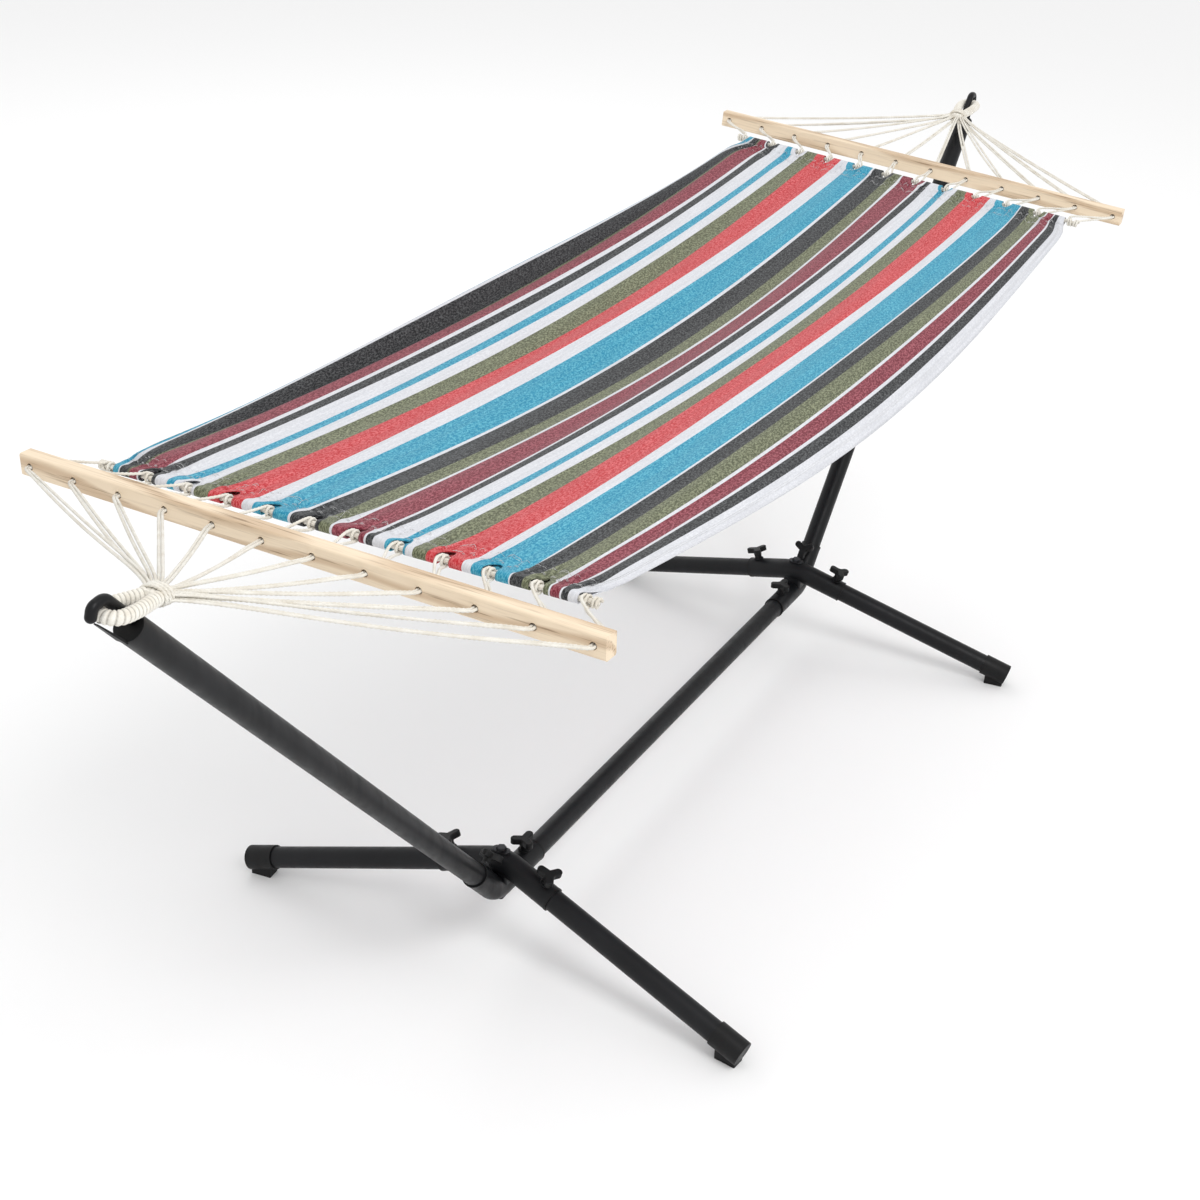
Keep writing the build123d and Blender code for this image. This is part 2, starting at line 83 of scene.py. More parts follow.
# --- lines of the stand and the rigging, as in the CAD source, in metres -------------------------
HUB_X, CROWN_Z, KNEE_RADIUS = 0.532, 0.1455, 0.039
MOUTH = (1.217, 0.8605)
HOOK_OFFSET, EYE_SEAT = 0.008, 0.026
EYE_DIP = math.radians(8.1)
EYE_REACH, EYE_HALF_WIDTH = 0.0224, 0.0152
THROAT, THROAT_HALF_WIDTH = 0.045, 0.0079
CORD_COUNT, CORD_PITCH = 12, 0.070
CLOTH_WIDTH, CLOTH_SAG, GAP_WIDTH, GAP_DEPTH = 0.660, 0.048, 0.018, 0.020
HEM_ROPE_LENGTH = 0.676
LEG_TOP, FOOT = (0.5306, 0.149), (0.585, 0.417, 0.0206)
BEAM_SEAT, ARM_SEAT, LEG_SEAT = (0.468, 0.1065), 0.044, 0.079
_rise = (MOUTH[0] - HUB_X, MOUTH[1] - CROWN_Z)
ARM_ANGLE = math.atan2(_rise[1], _rise[0]) + math.asin(KNEE_RADIUS / math.hypot(*_rise))


@dataclass(frozen=True)
class Rig:
    """Where one end's spreader bar and hem hang."""

    bar_centre: Vector
    bar_roll: float
    bar_yaw: float
    hem_centre: Vector
    hem_roll: float


RIGS = {
    End.NEAR: Rig(Vector((-0.947, 0.018, 0.827)), -1.15, -2.3, Vector((-0.873, 0.019, 0.815)), -1.15),
    End.FAR: Rig(Vector((0.939, -0.002, 0.831)), 4.3, 0.3, Vector((0.873, -0.002, 0.820)), 4.3),
}


def arm_point(along: float, across: float, end: End) -> Vector:
    """A point by its distance past the arm's mouth and across the arm.

    Args:
        along: distance past the mouth.
        across: distance outboard and down from the arm's axis.
        end: which end of the stand.

    Returns:
        The point in the row frame.
    """
    x = MOUTH[0] + along * math.cos(ARM_ANGLE) + across * math.sin(ARM_ANGLE)
    z = MOUTH[1] + along * math.sin(ARM_ANGLE) - across * math.cos(ARM_ANGLE)
    return Vector((end.value * x, 0, z))


def eye_point(outboard: float, sideways: float, end: End, above: float = 0.0) -> Vector:
    """A point of the rope eye's plane, from where it bears on the hook.

    Args:
        outboard: distance outboard along the eye's run.
        sideways: distance along Y.
        end: which end of the stand.
        above: distance square to the eye's plane.

    Returns:
        The point in the row frame.
    """
    seat = arm_point(EYE_SEAT, -HOOK_OFFSET, end)
    run = Vector((end.value * math.cos(EYE_DIP), 0, math.sin(EYE_DIP)))
    square = Vector((-end.value * math.sin(EYE_DIP), 0, math.cos(EYE_DIP)))
    return seat + run * outboard + square * above + Vector((0, sideways, 0))


def bar_axes(end: End) -> tuple[Vector, Vector]:
    """The length and outboard directions of a spreader bar.

    Args:
        end: which end.

    Returns:
        Unit vectors along the bar and outboard through its holes.
    """
    roll, yaw = math.radians(RIGS[end].bar_roll), math.radians(RIGS[end].bar_yaw)
    length = Vector((-math.sin(yaw) * math.cos(roll), math.cos(yaw) * math.cos(roll), math.sin(roll)))
    return length, length.cross(Vector((0, 0, 1))).normalized() * end.value


def hem_direction(end: End) -> Vector:
    """The unit vector along an end's hem rope, towards the left flank."""
    roll = math.radians(RIGS[end].hem_roll)
    return Vector((0, math.cos(roll), math.sin(roll)))


def hem_offset(number: int) -> float:
    """How far a cord's place on the hem is from the hem's middle."""
    pitch = (CLOTH_WIDTH - 2 * GAP_WIDTH / 3) / (CORD_COUNT - 1)
    return pitch * (number - (CORD_COUNT - 1) / 2)


def leg_axis(end: End, flank: Flank) -> tuple[Vector, Vector]:
    """The top point and the direction of a leg."""
    top = Vector((end.value * LEG_TOP[0], 0, LEG_TOP[1]))
    foot = Vector((end.value * FOOT[0], flank.value * FOOT[1], FOOT[2]))
    return top, (foot - top).normalized()


# --- small helpers for meshes ------------------------------------------------------------------
def smoothstep(values: np.ndarray) -> np.ndarray:
    """A soft ramp from 0 to 1 for values from 0 to 1."""
    clipped = np.clip(values, 0, 1)
    return clipped * clipped * (3 - 2 * clipped)


def deselect() -> None:
    """Leave nothing selected, in object mode."""
    if bpy.context.object and bpy.context.object.mode != "OBJECT":
        bpy.ops.object.mode_set(mode="OBJECT")
    bpy.ops.object.select_all(action="DESELECT")


def pick(piece: bpy.types.Object) -> None:
    """Select one piece alone and make it active."""
    deselect()
    piece.select_set(True)
    bpy.context.view_layer.objects.active = piece


def settle(piece: bpy.types.Object) -> None:
    """Apply a piece's place, turn and scale to its mesh."""
    pick(piece)
    bpy.ops.object.transform_apply(location=True, rotation=True, scale=True)


def apply_modifiers(piece: bpy.types.Object) -> None:
    """Apply every modifier on a piece."""
    pick(piece)
    for modifier in list(piece.modifiers):
        bpy.ops.object.modifier_apply(modifier=modifier.name)


def grid_mesh(name: str, points: np.ndarray, faces: list[tuple[int, ...]],
              uv: np.ndarray) -> bpy.types.Object:
    """Make a smooth-shaded mesh piece from points and faces.

    Args:
        name: the piece's name.
        points: one row of X, Y, Z for each vertex.
        faces: vertex numbers of each face.
        uv: one row of two numbers for each vertex, for the UV map.

    Returns:
        The new object, linked to the scene.
    """
    mesh = bpy.data.meshes.new(name)
    mesh.from_pydata(points.tolist(), [], faces)
    layer = mesh.uv_layers.new(name="flat")
    corner = np.zeros(len(mesh.loops), np.int32)
    mesh.loops.foreach_get("vertex_index", corner)
    layer.data.foreach_set("uv", uv[corner].astype(np.float32).ravel())
    mesh.polygons.foreach_set("use_smooth", [True] * len(mesh.polygons))
    mesh.update()
    piece = bpy.data.objects.new(name, mesh)
    bpy.context.scene.collection.objects.link(piece)
    return piece


# --- node groups -------------------------------------------------------------------------------
class Board:
    """A node tree with short calls for adding and joining its nodes."""

    def __init__(self, tree: bpy.types.NodeTree) -> None:
        """Keep the tree that the calls work on."""
        self.tree = tree

    def add(self, kind: str, **settings: object) -> bpy.types.Node:
        """Add a node and set its properties."""
        node = self.tree.nodes.new(kind)
        for key, value in settings.items():
            setattr(node, key, value)
        return node

    def join(self, source: bpy.types.NodeSocket, target: bpy.types.NodeSocket) -> None:
        """Join two sockets."""
        self.tree.links.new(source, target)

    def calc(self, operation: str, first: object, second: object) -> bpy.types.NodeSocket:
        """Add a Math node whose two inputs are sockets or numbers."""
        node = self.add("ShaderNodeMath", operation=operation)
        for socket, value in zip(node.inputs, (first, second)):
            if isinstance(value, bpy.types.NodeSocket):
                self.join(value, socket)
            else:
                socket.default_value = value
        return node.outputs[0]

    def noise(self, vector: bpy.types.NodeSocket, scale: float, detail: float = 3.0) -> bpy.types.NodeSocket:
        """Add a noise pattern and give its value."""
        node = self.add("ShaderNodeTexNoise")
        node.inputs["Scale"].default_value = scale
        node.inputs["Detail"].default_value = detail
        self.join(vector, node.inputs["Vector"])
        return node.outputs["Fac"]

    def stretch(self, vector: bpy.types.NodeSocket, scale: tuple[float, float, float],
                turn: tuple[float, float, float] = (0, 0, 0)) -> bpy.types.NodeSocket:
        """Turn and scale a pattern's coordinates."""
        node = self.add("ShaderNodeMapping")
        node.inputs["Scale"].default_value = scale
        node.inputs["Rotation"].default_value = turn
        self.join(vector, node.inputs["Vector"])
        return node.outputs["Vector"]

    def blend(self, share: bpy.types.NodeSocket, first: object, second: object) -> bpy.types.NodeSocket:
        """Mix two colours, each a socket or a tuple."""
        node = self.add("ShaderNodeMix", data_type="RGBA")
        self.join(share, node.inputs["Factor"])
        for key, value in (("A", first), ("B", second)):
            socket = next(s for s in node.inputs if s.name == key and s.type == "RGBA")
            if isinstance(value, bpy.types.NodeSocket):
                self.join(value, socket)
            else:
                socket.default_value = (*value, 1.0)
        return next(s for s in node.outputs if s.type == "RGBA")

    def span(self, value: bpy.types.NodeSocket, low: float, high: float, to_low: float = 0.0,
             to_high: float = 1.0) -> bpy.types.NodeSocket:
        """Map a value's range onto another."""
        node = self.add("ShaderNodeMapRange")
        self.join(value, node.inputs["Value"])
        for key, number in (("From Min", low), ("From Max", high), ("To Min", to_low), ("To Max", to_high)):
            node.inputs[key].default_value = number
        return node.outputs["Result"]


def new_group(name: str, inputs: dict[str, tuple[str, object]],
              outputs: dict[str, str]) -> bpy.types.NodeTree:
    """Make an empty node group with named sockets.

    Args:
        name: the group's name.
        inputs: socket kind and default value by name.
        outputs: socket kind by name.

    Returns:
        The group's tree.
    """
    tree = bpy.data.node_groups.new(name, "ShaderNodeTree")
    for key, (kind, value) in inputs.items():
        socket = tree.interface.new_socket(name=key, in_out="INPUT", socket_type=kind)
        if value is not None:
            socket.default_value = value
    for key, kind in outputs.items():
        tree.interface.new_socket(name=key, in_out="OUTPUT", socket_type=kind)
    return tree


def mottle_group() -> None:
    """Make the group of cloudy and speckled variation: two masks and a height."""
    tree = new_group(
        "mottle",
        {"Vector": ("NodeSocketVector", None), "Cloud": ("NodeSocketFloat", 6.0),
         "Grain": ("NodeSocketFloat", 400.0)},
        {"Cloudiness": "NodeSocketFloat", "Speckle": "NodeSocketFloat", "Height": "NodeSocketFloat"},
    )
    board = Board(tree)
    source, sink = board.add("NodeGroupInput"), board.add("NodeGroupOutput")
    for key, output, detail in (("Cloud", "Cloudiness", 4.0), ("Grain", "Speckle", 2.0)):
        noise = board.add("ShaderNodeTexNoise")
        noise.inputs["Detail"].default_value = detail
        board.join(source.outputs["Vector"], noise.inputs["Vector"])
        board.join(source.outputs[key], noise.inputs["Scale"])
        board.join(noise.outputs["Fac"], sink.inputs[output])
        if output == "Speckle":
            board.join(noise.outputs["Fac"], sink.inputs["Height"])


def weave_group() -> None:
    """Make the group of a plain weave on flat coordinates in metres: a height and two masks."""
    tree = new_group(
        "plain_weave",
        {"Vector": ("NodeSocketVector", None), "Threads": ("NodeSocketFloat", 900.0)},
        {"Height": "NodeSocketFloat", "Fleck": "NodeSocketFloat", "Slub": "NodeSocketFloat"},
    )
    board = Board(tree)
    source, sink = board.add("NodeGroupInput"), board.add("NodeGroupOutput")
    waves = []
    for axis in ("X", "Y"):
        split = board.add("ShaderNodeSeparateXYZ")
        board.join(source.outputs["Vector"], split.inputs[0])
        turn = board.calc("MULTIPLY", split.outputs[axis], source.outputs["Threads"])
        waves.append(board.calc("SINE", board.calc("MULTIPLY", turn, math.tau), 0.0))
    board.join(board.calc("MULTIPLY", waves[0], waves[1]), sink.inputs["Height"])
    snap = board.add("ShaderNodeVectorMath", operation="FLOOR")
    board.join(board.stretch(source.outputs["Vector"], (860, 540, 1)), snap.inputs[0])
    cell = board.add("ShaderNodeTexWhiteNoise", noise_dimensions="2D")
    board.join(snap.outputs[0], cell.inputs["Vector"])
    drift = board.noise(board.stretch(source.outputs["Vector"], (420, 170, 1)), 1.0, 3.0)
    fleck = board.calc("ADD", board.calc("MULTIPLY", cell.outputs["Value"], 0.22),
                       board.calc("MULTIPLY", drift, 0.80))
    board.join(fleck, sink.inputs["Fleck"])
    slub = board.noise(board.stretch(source.outputs["Vector"], (260, 9, 1)), 1.0, 3.0)
    board.join(slub, sink.inputs["Slub"])


@dataclass(frozen=True)
class Finish:
    """What every finish has: a name, a shader, and the shared groups and bump that it may add."""

    name: str

    def start(self) -> tuple[bpy.types.Material, Board, bpy.types.Node]:
        """Make a material with a plain shader and give its board."""
        material = bpy.data.materials.new(self.name)
        material.use_nodes = True
        shader = next(n for n in material.node_tree.nodes if n.type == "BSDF_PRINCIPLED")
        return material, Board(material.node_tree), shader

    def place(self, board: Board, group: str, vector: bpy.types.NodeSocket,
              **values: float) -> bpy.types.Node:
        """Place a shared node group with its own values."""
        node = board.add("ShaderNodeGroup", node_tree=bpy.data.node_groups[group])
        board.join(vector, node.inputs["Vector"])
        for key, value in values.items():
            node.inputs[key].default_value = value
        return node

    def bump(self, board: Board, height: bpy.types.NodeSocket, shader: bpy.types.Node, strength: float,
             distance: float) -> None:
        """Feed a height to the shader's normal."""
        node = board.add("ShaderNodeBump")
        node.inputs["Strength"].default_value = strength
        node.inputs["Distance"].default_value = distance
        board.join(height, node.inputs["Height"])
        board.join(node.outputs["Normal"], shader.inputs["Normal"])


@dataclass(frozen=True)
class CoatedSteel(Finish):
    """Dark coat on metal or moulded plastic, with a fine texture, dust and handling marks."""

    dark: tuple[float, float, float]
    light: tuple[float, float, float]
    roughness: tuple[float, float]
    grain: float
    depth: float
    metallic: float = 0.0
    gloss: float = 0.22

    def material(self) -> bpy.types.Material:
        """Build the material."""
        made, board, shader = self.start()
        place = board.add("ShaderNodeTexCoord").outputs["Object"]
        mottle = self.place(board, "mottle", place, Cloud=7.0, Grain=self.grain)
        colour = board.blend(board.span(mottle.outputs["Cloudiness"], 0.35, 0.7), self.dark, self.light)
        specks = board.span(mottle.outputs["Speckle"], 0.60, 0.75, 0.0, 0.5)
        dust = tuple(c * 1.9 + 0.01 for c in self.light)
        board.join(board.blend(specks, colour, dust), shader.inputs["Base Color"])
        scuff = board.noise(board.stretch(place, (90, 90, 14)), 1.0, 5.0)
        rough = board.span(scuff, 0.35, 0.7, *self.roughness)
        board.join(rough, shader.inputs["Roughness"])
        shader.inputs["Metallic"].default_value = self.metallic
        shader.inputs["Specular IOR Level"].default_value = self.gloss
        self.bump(board, mottle.outputs["Height"], shader, 0.35, self.depth)
        return made


@dataclass(frozen=True)
class CottonTwist(Finish):
    """Natural cotton yarn laid up into cord."""

    pale: tuple[float, float, float] = (0.86, 0.84, 0.78)
    shade: tuple[float, float, float] = (0.70, 0.65, 0.56)
    # cavity: the most that the painted shade in the rope's grooves darkens the cord's colour
    cavity: float = 0.9

    def material(self) -> bpy.types.Material:
        """Build the material, on the cord's own unrolled coordinates."""
        made, board, shader = self.start()
        lay = board.add("ShaderNodeUVMap", uv_map="flat").outputs["UV"]
        place = board.add("ShaderNodeTexCoord").outputs["Object"]
        fibre = board.noise(board.stretch(lay, (1400, 26, 1)), 1.0, 4.0)
        mottle = self.place(board, "mottle", place, Cloud=60.0, Grain=900.0)
        tone = board.calc("MULTIPLY", fibre, mottle.outputs["Cloudiness"])
        colour = board.blend(board.span(tone, 0.12, 0.36), self.shade, self.pale)
        # painted shade: the grooves between strands, read from the 'hollow' attribute, are blended towards a
        # dim copy of the shade tone
        hollow = board.add("ShaderNodeAttribute", attribute_name="hollow").outputs["Fac"]
        groove_shade = tuple(c * 0.36 for c in self.shade)
        colour = board.blend(board.span(hollow, 0.30, 1.0, 0.0, self.cavity), colour, groove_shade)
        board.join(colour, shader.inputs["Base Color"])
        shader.inputs["Roughness"].default_value = 0.92
        shader.inputs["Specular IOR Level"].default_value = 0.15
        shader.inputs["Sheen Weight"].default_value = 0.25
        self.bump(board, fibre, shader, 0.5, 0.0006)
        return made


@dataclass(frozen=True)
class AshWood(Finish):
    """Sanded pale ash with open pores, its grain along Y."""

    pale: tuple[float, float, float] = (0.79, 0.65, 0.48)
    ring: tuple[float, float, float] = (0.55, 0.40, 0.26)
    pore: tuple[float, float, float] = (0.20, 0.125, 0.07)
    yaw: float = 0.0
    lift: float = 0.0

    def material(self) -> bpy.types.Material:
        """Build the material."""
        made, board, shader = self.start()
        place = board.add("ShaderNodeTexCoord").outputs["Object"]
        along = board.stretch(place, (1, 1, 1), (math.radians(self.lift), 0, math.radians(self.yaw)))
        flow = board.noise(board.stretch(along, (16, 2.2, 16)), 1.0, 2.0)
        split = board.add("ShaderNodeSeparateXYZ")
        board.join(board.stretch(along, (60, 2.5, 95)), split.inputs[0])
        rings = board.calc("ADD", board.calc("ADD", split.outputs["X"], split.outputs["Z"]),
                          board.calc("MULTIPLY", flow, 9.0))
        phase = board.calc("ADD", board.calc("MULTIPLY", rings, 2.3), split.outputs["Y"])
        band = board.calc("SINE", phase, 0.0)
        fleck = board.noise(board.stretch(along, (420, 14, 420)), 1.0, 3.0)
        colour = board.blend(board.span(band, -0.2, 1.0, 0.0, 0.85), self.pale, self.ring)
        pores = board.calc("MULTIPLY", board.span(fleck, 0.54, 0.70), board.span(band, -0.6, 0.9, 0.15, 0.8))
        board.join(board.blend(pores, colour, self.pore), shader.inputs["Base Color"])
        board.join(board.span(fleck, 0.3, 0.7, 0.50, 0.68), shader.inputs["Roughness"])
        height = board.calc("SUBTRACT", band, board.calc("MULTIPLY", fleck, 2.0))
        self.bump(board, height, shader, 0.25, 0.0005)
        return made


@dataclass(frozen=True)
class WovenYarn(Finish):
    """One dyed warp of the cloth, crossed by a paler weft."""

    dye: tuple[float, float, float]
    fleck: tuple[float, float, float]
    strength: float = 0.6

    def material(self) -> bpy.types.Material:
        """Build the material, on the cloth's flat coordinates."""
        made, board, shader = self.start()
        flat = board.add("ShaderNodeUVMap", uv_map="flat").outputs["UV"]
        weave = self.place(board, "plain_weave", flat, Threads=430.0)
        share = board.span(weave.outputs["Fleck"], 0.44, 0.62, 0.0, self.strength)
        colour = board.blend(share, self.dye, self.fleck)
        dim = tuple(c * 0.72 for c in self.dye)
        colour = board.blend(board.span(weave.outputs["Slub"], 0.35, 0.65, 0.30, 0.0), colour, dim)
        board.join(colour, shader.inputs["Base Color"])
        board.join(board.span(weave.outputs["Slub"], 0.3, 0.7, 0.82, 0.95), shader.inputs["Roughness"])
        shader.inputs["Specular IOR Level"].default_value = 0.2
        shader.inputs["Sheen Weight"].default_value = 0.15
        slubs = board.calc("MULTIPLY", weave.outputs["Slub"], 2.0)
        height = board.calc("ADD", weave.outputs["Height"], slubs)
        self.bump(board, height, shader, 0.35, 0.0006)
        return made


# --- ropes -------------------------------------------------------------------------------------
def spline_points(control: list[Vector], step: float) -> np.ndarray:
    """Points along the NURBS spline of a route, evenly spaced.

    Args:
        control: the route's points.
        step: distance between the points that are given back.

    Returns:
        One row of X, Y, Z for each point.
    """
    curve = bpy.data.curves.new("route", "CURVE")
    curve.dimensions = "3D"
    curve.resolution_u = 20
    spline = curve.splines.new("NURBS")
    spline.points.add(len(control) - 1)
    for point, place in zip(spline.points, control):
        point.co = (*place, 1.0)
    spline.order_u = 3
    spline.use_endpoint_u = True
    carrier = bpy.data.objects.new("route", curve)
    bpy.context.scene.collection.objects.link(carrier)
    bpy.context.view_layer.update()
    line = bpy.data.meshes.new_from_object(carrier.evaluated_get(bpy.context.evaluated_depsgraph_get()))
    points = np.array([v.co for v in line.vertices], float)
    bpy.data.objects.remove(carrier)
    bpy.data.meshes.remove(line)
    bpy.data.curves.remove(curve)
    gaps = np.linalg.norm(np.diff(points, axis=0), axis=1)
    points = np.vstack([points[:1], points[1:][gaps > 1e-7]])
    run = np.concatenate([[0], np.cumsum(np.linalg.norm(np.diff(points, axis=0), axis=1))])
    places = np.linspace(0, run[-1], max(3, int(round(run[-1] / step)) + 1))
    return np.column_stack([np.interp(places, run, points[:, axis]) for axis in range(3)])


@dataclass(frozen=True)
class LaidRope:
    """How a rope's surface is laid up round its line."""

    diameter: float
    strands: int = 3
    lay: float = 0.015
    groove: float = 0.26
    facets: int = 9
    step: float = 0.0014
    ribbed: bool = False
    # shadow: how strongly painted shade darkens the grooves, through the 'hollow' attribute
    shadow: float = 0.45

    def radii(self, around: np.ndarray, along: np.ndarray) -> np.ndarray:
        """The surface's distance from the line at angles and distances along it."""
        radius = self.diameter / 2
        if self.ribbed:
            turn = np.mod(along / self.lay - around / math.tau, 1.0)
            crest = np.abs(np.sin(math.pi * turn)) ** 0.6
            twist = 0.022 * np.sin(17 * around + math.tau * along / self.lay * 2.5)
            return radius * (1 - self.groove + (self.groove - 0.022) * crest + twist * crest)
        return radius * (1 - self.groove * (0.5 - 0.5 * np.cos(self.strands * around)))

    def mesh(self, name: str, path: np.ndarray, squash: tuple[float, float] = (1, 1)) -> bpy.types.Object:
        """Make the rope's skin round a line.

        Args:
            name: the piece's name.
            path: points along the line.
            squash: stretch of the section sideways and upwards.

        Returns:
            The mesh piece.
        """
        count, facets = len(path), self.facets
        tangents = np.gradient(path, axis=0)
        tangents /= np.linalg.norm(tangents, axis=1)[:, None]
        side = np.cross(tangents[0], (0.0, 0.0, 1.0))
        if np.linalg.norm(side) < 1e-3:
            side = np.cross(tangents[0], (0.0, 1.0, 0.0))
        sides = np.zeros_like(path)
        for index, tangent in enumerate(tangents):
            side = side - tangent * (side @ tangent)
            side = side / np.linalg.norm(side)
            sides[index] = side
        ups = np.cross(sides, tangents)
        along = np.concatenate([[0], np.cumsum(np.linalg.norm(np.diff(path, axis=0), axis=1))])
        around = np.arange(facets) * math.tau / facets
        spin = np.zeros(count) if self.ribbed else math.tau * along / self.lay
        radii = self.radii(around[None, :], along[:, None]) * np.ones((count, 1))
        angle = around[None, :] + spin[:, None]
        points = (path[:, None, :]
                  + sides[:, None, :] * (radii * np.cos(angle) * squash[0])[..., None]
                  + ups[:, None, :] * (radii * np.sin(angle) * squash[1])[..., None])
        points = np.vstack([points.reshape(-1, 3), path[:1], path[-1:]])
        uv = np.zeros((count * facets + 2, 2))
        uv[:-2, 0] = np.repeat(along, facets)
        uv[:-2, 1] = np.tile(np.arange(facets) / facets, count)
        faces = []
        for ring in range(count - 1):
            base = ring * facets
            for spot in range(facets):
                after = (spot + 1) % facets
                faces.append((base + spot, base + facets + spot, base + facets + after, base + after))
        last = (count - 1) * facets
        for spot in range(facets):
            after = (spot + 1) % facets
            faces.append((count * facets, spot, after))
            faces.append((count * facets + 1, last + after, last + spot))
        piece = grid_mesh(name, points, faces, uv)
        # painted shade: each point's depth into a groove, times shadow, is stored as 'hollow' and darkens
        # the cotton colour there
        hollow = np.zeros(len(points), np.float32)
        hollow[:-2] = self.shadow * ((1 - 2 * radii / self.diameter) / self.groove).ravel()
        piece.data.attributes.new("hollow", "FLOAT", "POINT").data.foreach_set("value", hollow)
        pick(piece)
        bpy.ops.object.mode_set(mode="EDIT")
        bpy.ops.mesh.select_all(action="SELECT")
        bpy.ops.mesh.normals_make_consistent(inside=False)
        bpy.ops.object.mode_set(mode="OBJECT")
        return piece


@dataclass
class RopeWork:
    """Eye, throat, suspension cords and hem rope of one end."""

    end: End
    finish: bpy.types.Material
    chance: random.Random
    strand: float = 0.0040
    hem_rope: float = 0.0070
    pair_gap: float = 0.00205
    hole_run: float = 0.016
    winding_radius: float = 0.0057
    winding_half_width: float = 0.0032
    most_slack: float = 0.009
    pieces: list[bpy.types.Object] = field(default_factory=list)

    def keep(self, piece: bpy.types.Object) -> bpy.types.Object:
        """Dress a piece in cotton and let it ride on the hammock."""
        piece.data.materials.append(self.finish)
        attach(piece, "hammock")
        self.pieces.append(piece)
        return piece

    def build_eye(self) -> bpy.types.Object:
        """The wound loop that hangs on the hook."""
        bends = ((-THROAT - 0.012, 0.0055), (-THROAT + 0.004, THROAT_HALF_WIDTH), (-0.008, EYE_HALF_WIDTH),
                 (EYE_REACH, EYE_HALF_WIDTH))
        route = [eye_point(outboard, aside, self.end) for outboard, aside in bends]
        route += [eye_point(outboard, -aside, self.end) for outboard, aside in reversed(bends)]
        # the eye's grooves get painted shade at full strength
        rope = LaidRope(0.0157, lay=0.0054, groove=0.24, facets=60, step=0.0006, ribbed=True, shadow=1.0)
        eye = self.keep(rope.mesh(f"{self.end.label}_wound_eye", spline_points(route, rope.step)))
        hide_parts(f"{self.end.label}_eye")
        return eye

    def build_throat(self) -> list[bpy.types.Object]:
        """The gathered cords and the turns that bind them."""
        label = self.end.label
        top, length = -THROAT + 0.006, 0.026
        core_line = np.array([eye_point(top - length * t, 0, self.end) for t in np.linspace(0, 1, 22)])
        core = LaidRope(0.0150, strands=11, lay=0.11, groove=0.13, facets=44, step=0.001)
        bundle = self.keep(core.mesh(f"{label}_throat_bundle", core_line, (1.75, 1.0)))
        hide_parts(f"{label}_whipping")
        turns, spots, pitch = 3, 16, 0.0044
        half_width, half_height = 0.0158, 0.0103
        wind = []
        for index in range(turns * spots + 1):
            angle = math.tau * index / spots
            along = -THROAT - 0.0005 - pitch * index / spots
            aside, above = half_width * math.cos(angle), half_height * math.sin(angle)
            wind.append(eye_point(along, aside, self.end, above))
        rope = LaidRope(0.0046, lay=0.014, facets=12, step=0.0011)
        binding = self.keep(rope.mesh(f"{label}_throat_binding", spline_points(wind, rope.step)))
        return [bundle, binding]

    def strand_route(self, number: int) -> list[Vector]:
        """The points of one cord: throat, bar, round the hem rope and back.

        Args:
            number: the cord's number from the right flank, from 0.

        Returns:
            The points in order, from the throat and back to it.
        """
        end, rig, clear = self.end, RIGS[self.end], self.hole_run
        length, outboard = bar_axes(end)
        spread = number - (CORD_COUNT - 1) / 2
        hole = rig.bar_centre + length * (CORD_PITCH * spread)
        layer = 0.0024 if number % 2 else -0.0024
        start = eye_point(-THROAT - 0.003, spread * 0.0018, end, layer)
        fan = eye_point(-THROAT - 0.019, spread * 0.0025, end, layer)
        mouth = hole + outboard * clear
        run = (mouth - fan).normalized()
        hem = rig.hem_centre + hem_direction(end) * hem_offset(number)
        inner = hole - outboard * clear
        along = hem_direction(end)
        reach = inner - hem
        out = (reach - along * reach.dot(along)).normalized()
        up = out.cross(along) if out.cross(along).z > 0 else along.cross(out)
        span = (mouth - fan).length
        slack = min(self.most_slack, 0.024 * span) * self.chance.uniform(0.2, 1.0)

        def beside(point: Vector, direction: Vector, sign: float, drop: float = 0.0) -> Vector:
            """A point moved to one strand's side of the pair."""
            across = direction.cross(Vector((0, 0, 1))).normalized()
            if across.dot(along) < 0:
                across.negate()
            return point + across * (sign * self.pair_gap) - Vector((0, 0, drop))

        def leg(sign: float, drop: float) -> list[Vector]:
            """One strand from the throat to just short of the hem."""
            way = (inner - hem).normalized()
            points = [beside(start, run, sign), beside(fan, run, sign)]
            points.append(beside(fan + run * span * 0.45, run, sign, drop))
            if span > 0.16:
                points.append(beside(fan + run * span * 0.72, run, sign, drop * 0.7))
            points.append(beside(mouth - run * clear * 1.5, run, sign))
            through = (clear, clear / 2, -clear / 2, -clear)
            points += [beside(hole + outboard * place, outboard, sign) for place in through]
            points.append(beside(inner - way * clear, way, sign))
            return points

        ring = self.winding_radius / math.cos(math.pi / 8) * 0.975
        half = self.winding_half_width
        steps = 12
        wind = []
        for index in range(steps + 1):
            angle = math.radians(90 + 45 * index)
            shift = half - 2 * half * index / steps
            wind.append(hem + along * shift + (out * math.cos(angle) + up * math.sin(angle)) * ring)
        top = hem + along * 0.0034 + out * 0.014 + up * self.winding_radius * 0.9
        bottom = hem - along * 0.0034 + out * 0.014 - up * self.winding_radius * 0.9
        there = leg(1, slack)
        back = leg(-1, slack * self.chance.uniform(0.1, 0.9))
        return there + [top] + wind + [bottom] + list(reversed(back))

    def build_cords(self) -> None:
        """All twelve suspension cords of the end.
        """
        rope = LaidRope(self.strand)
        label = self.end.label
        for number in range(CORD_COUNT):
            path = spline_points(self.strand_route(number), rope.step)
            cord = self.keep(rope.mesh(f"{label}_suspension_cord_{number + 1:02d}", path))
            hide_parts(f"{label}_suspension_cords")

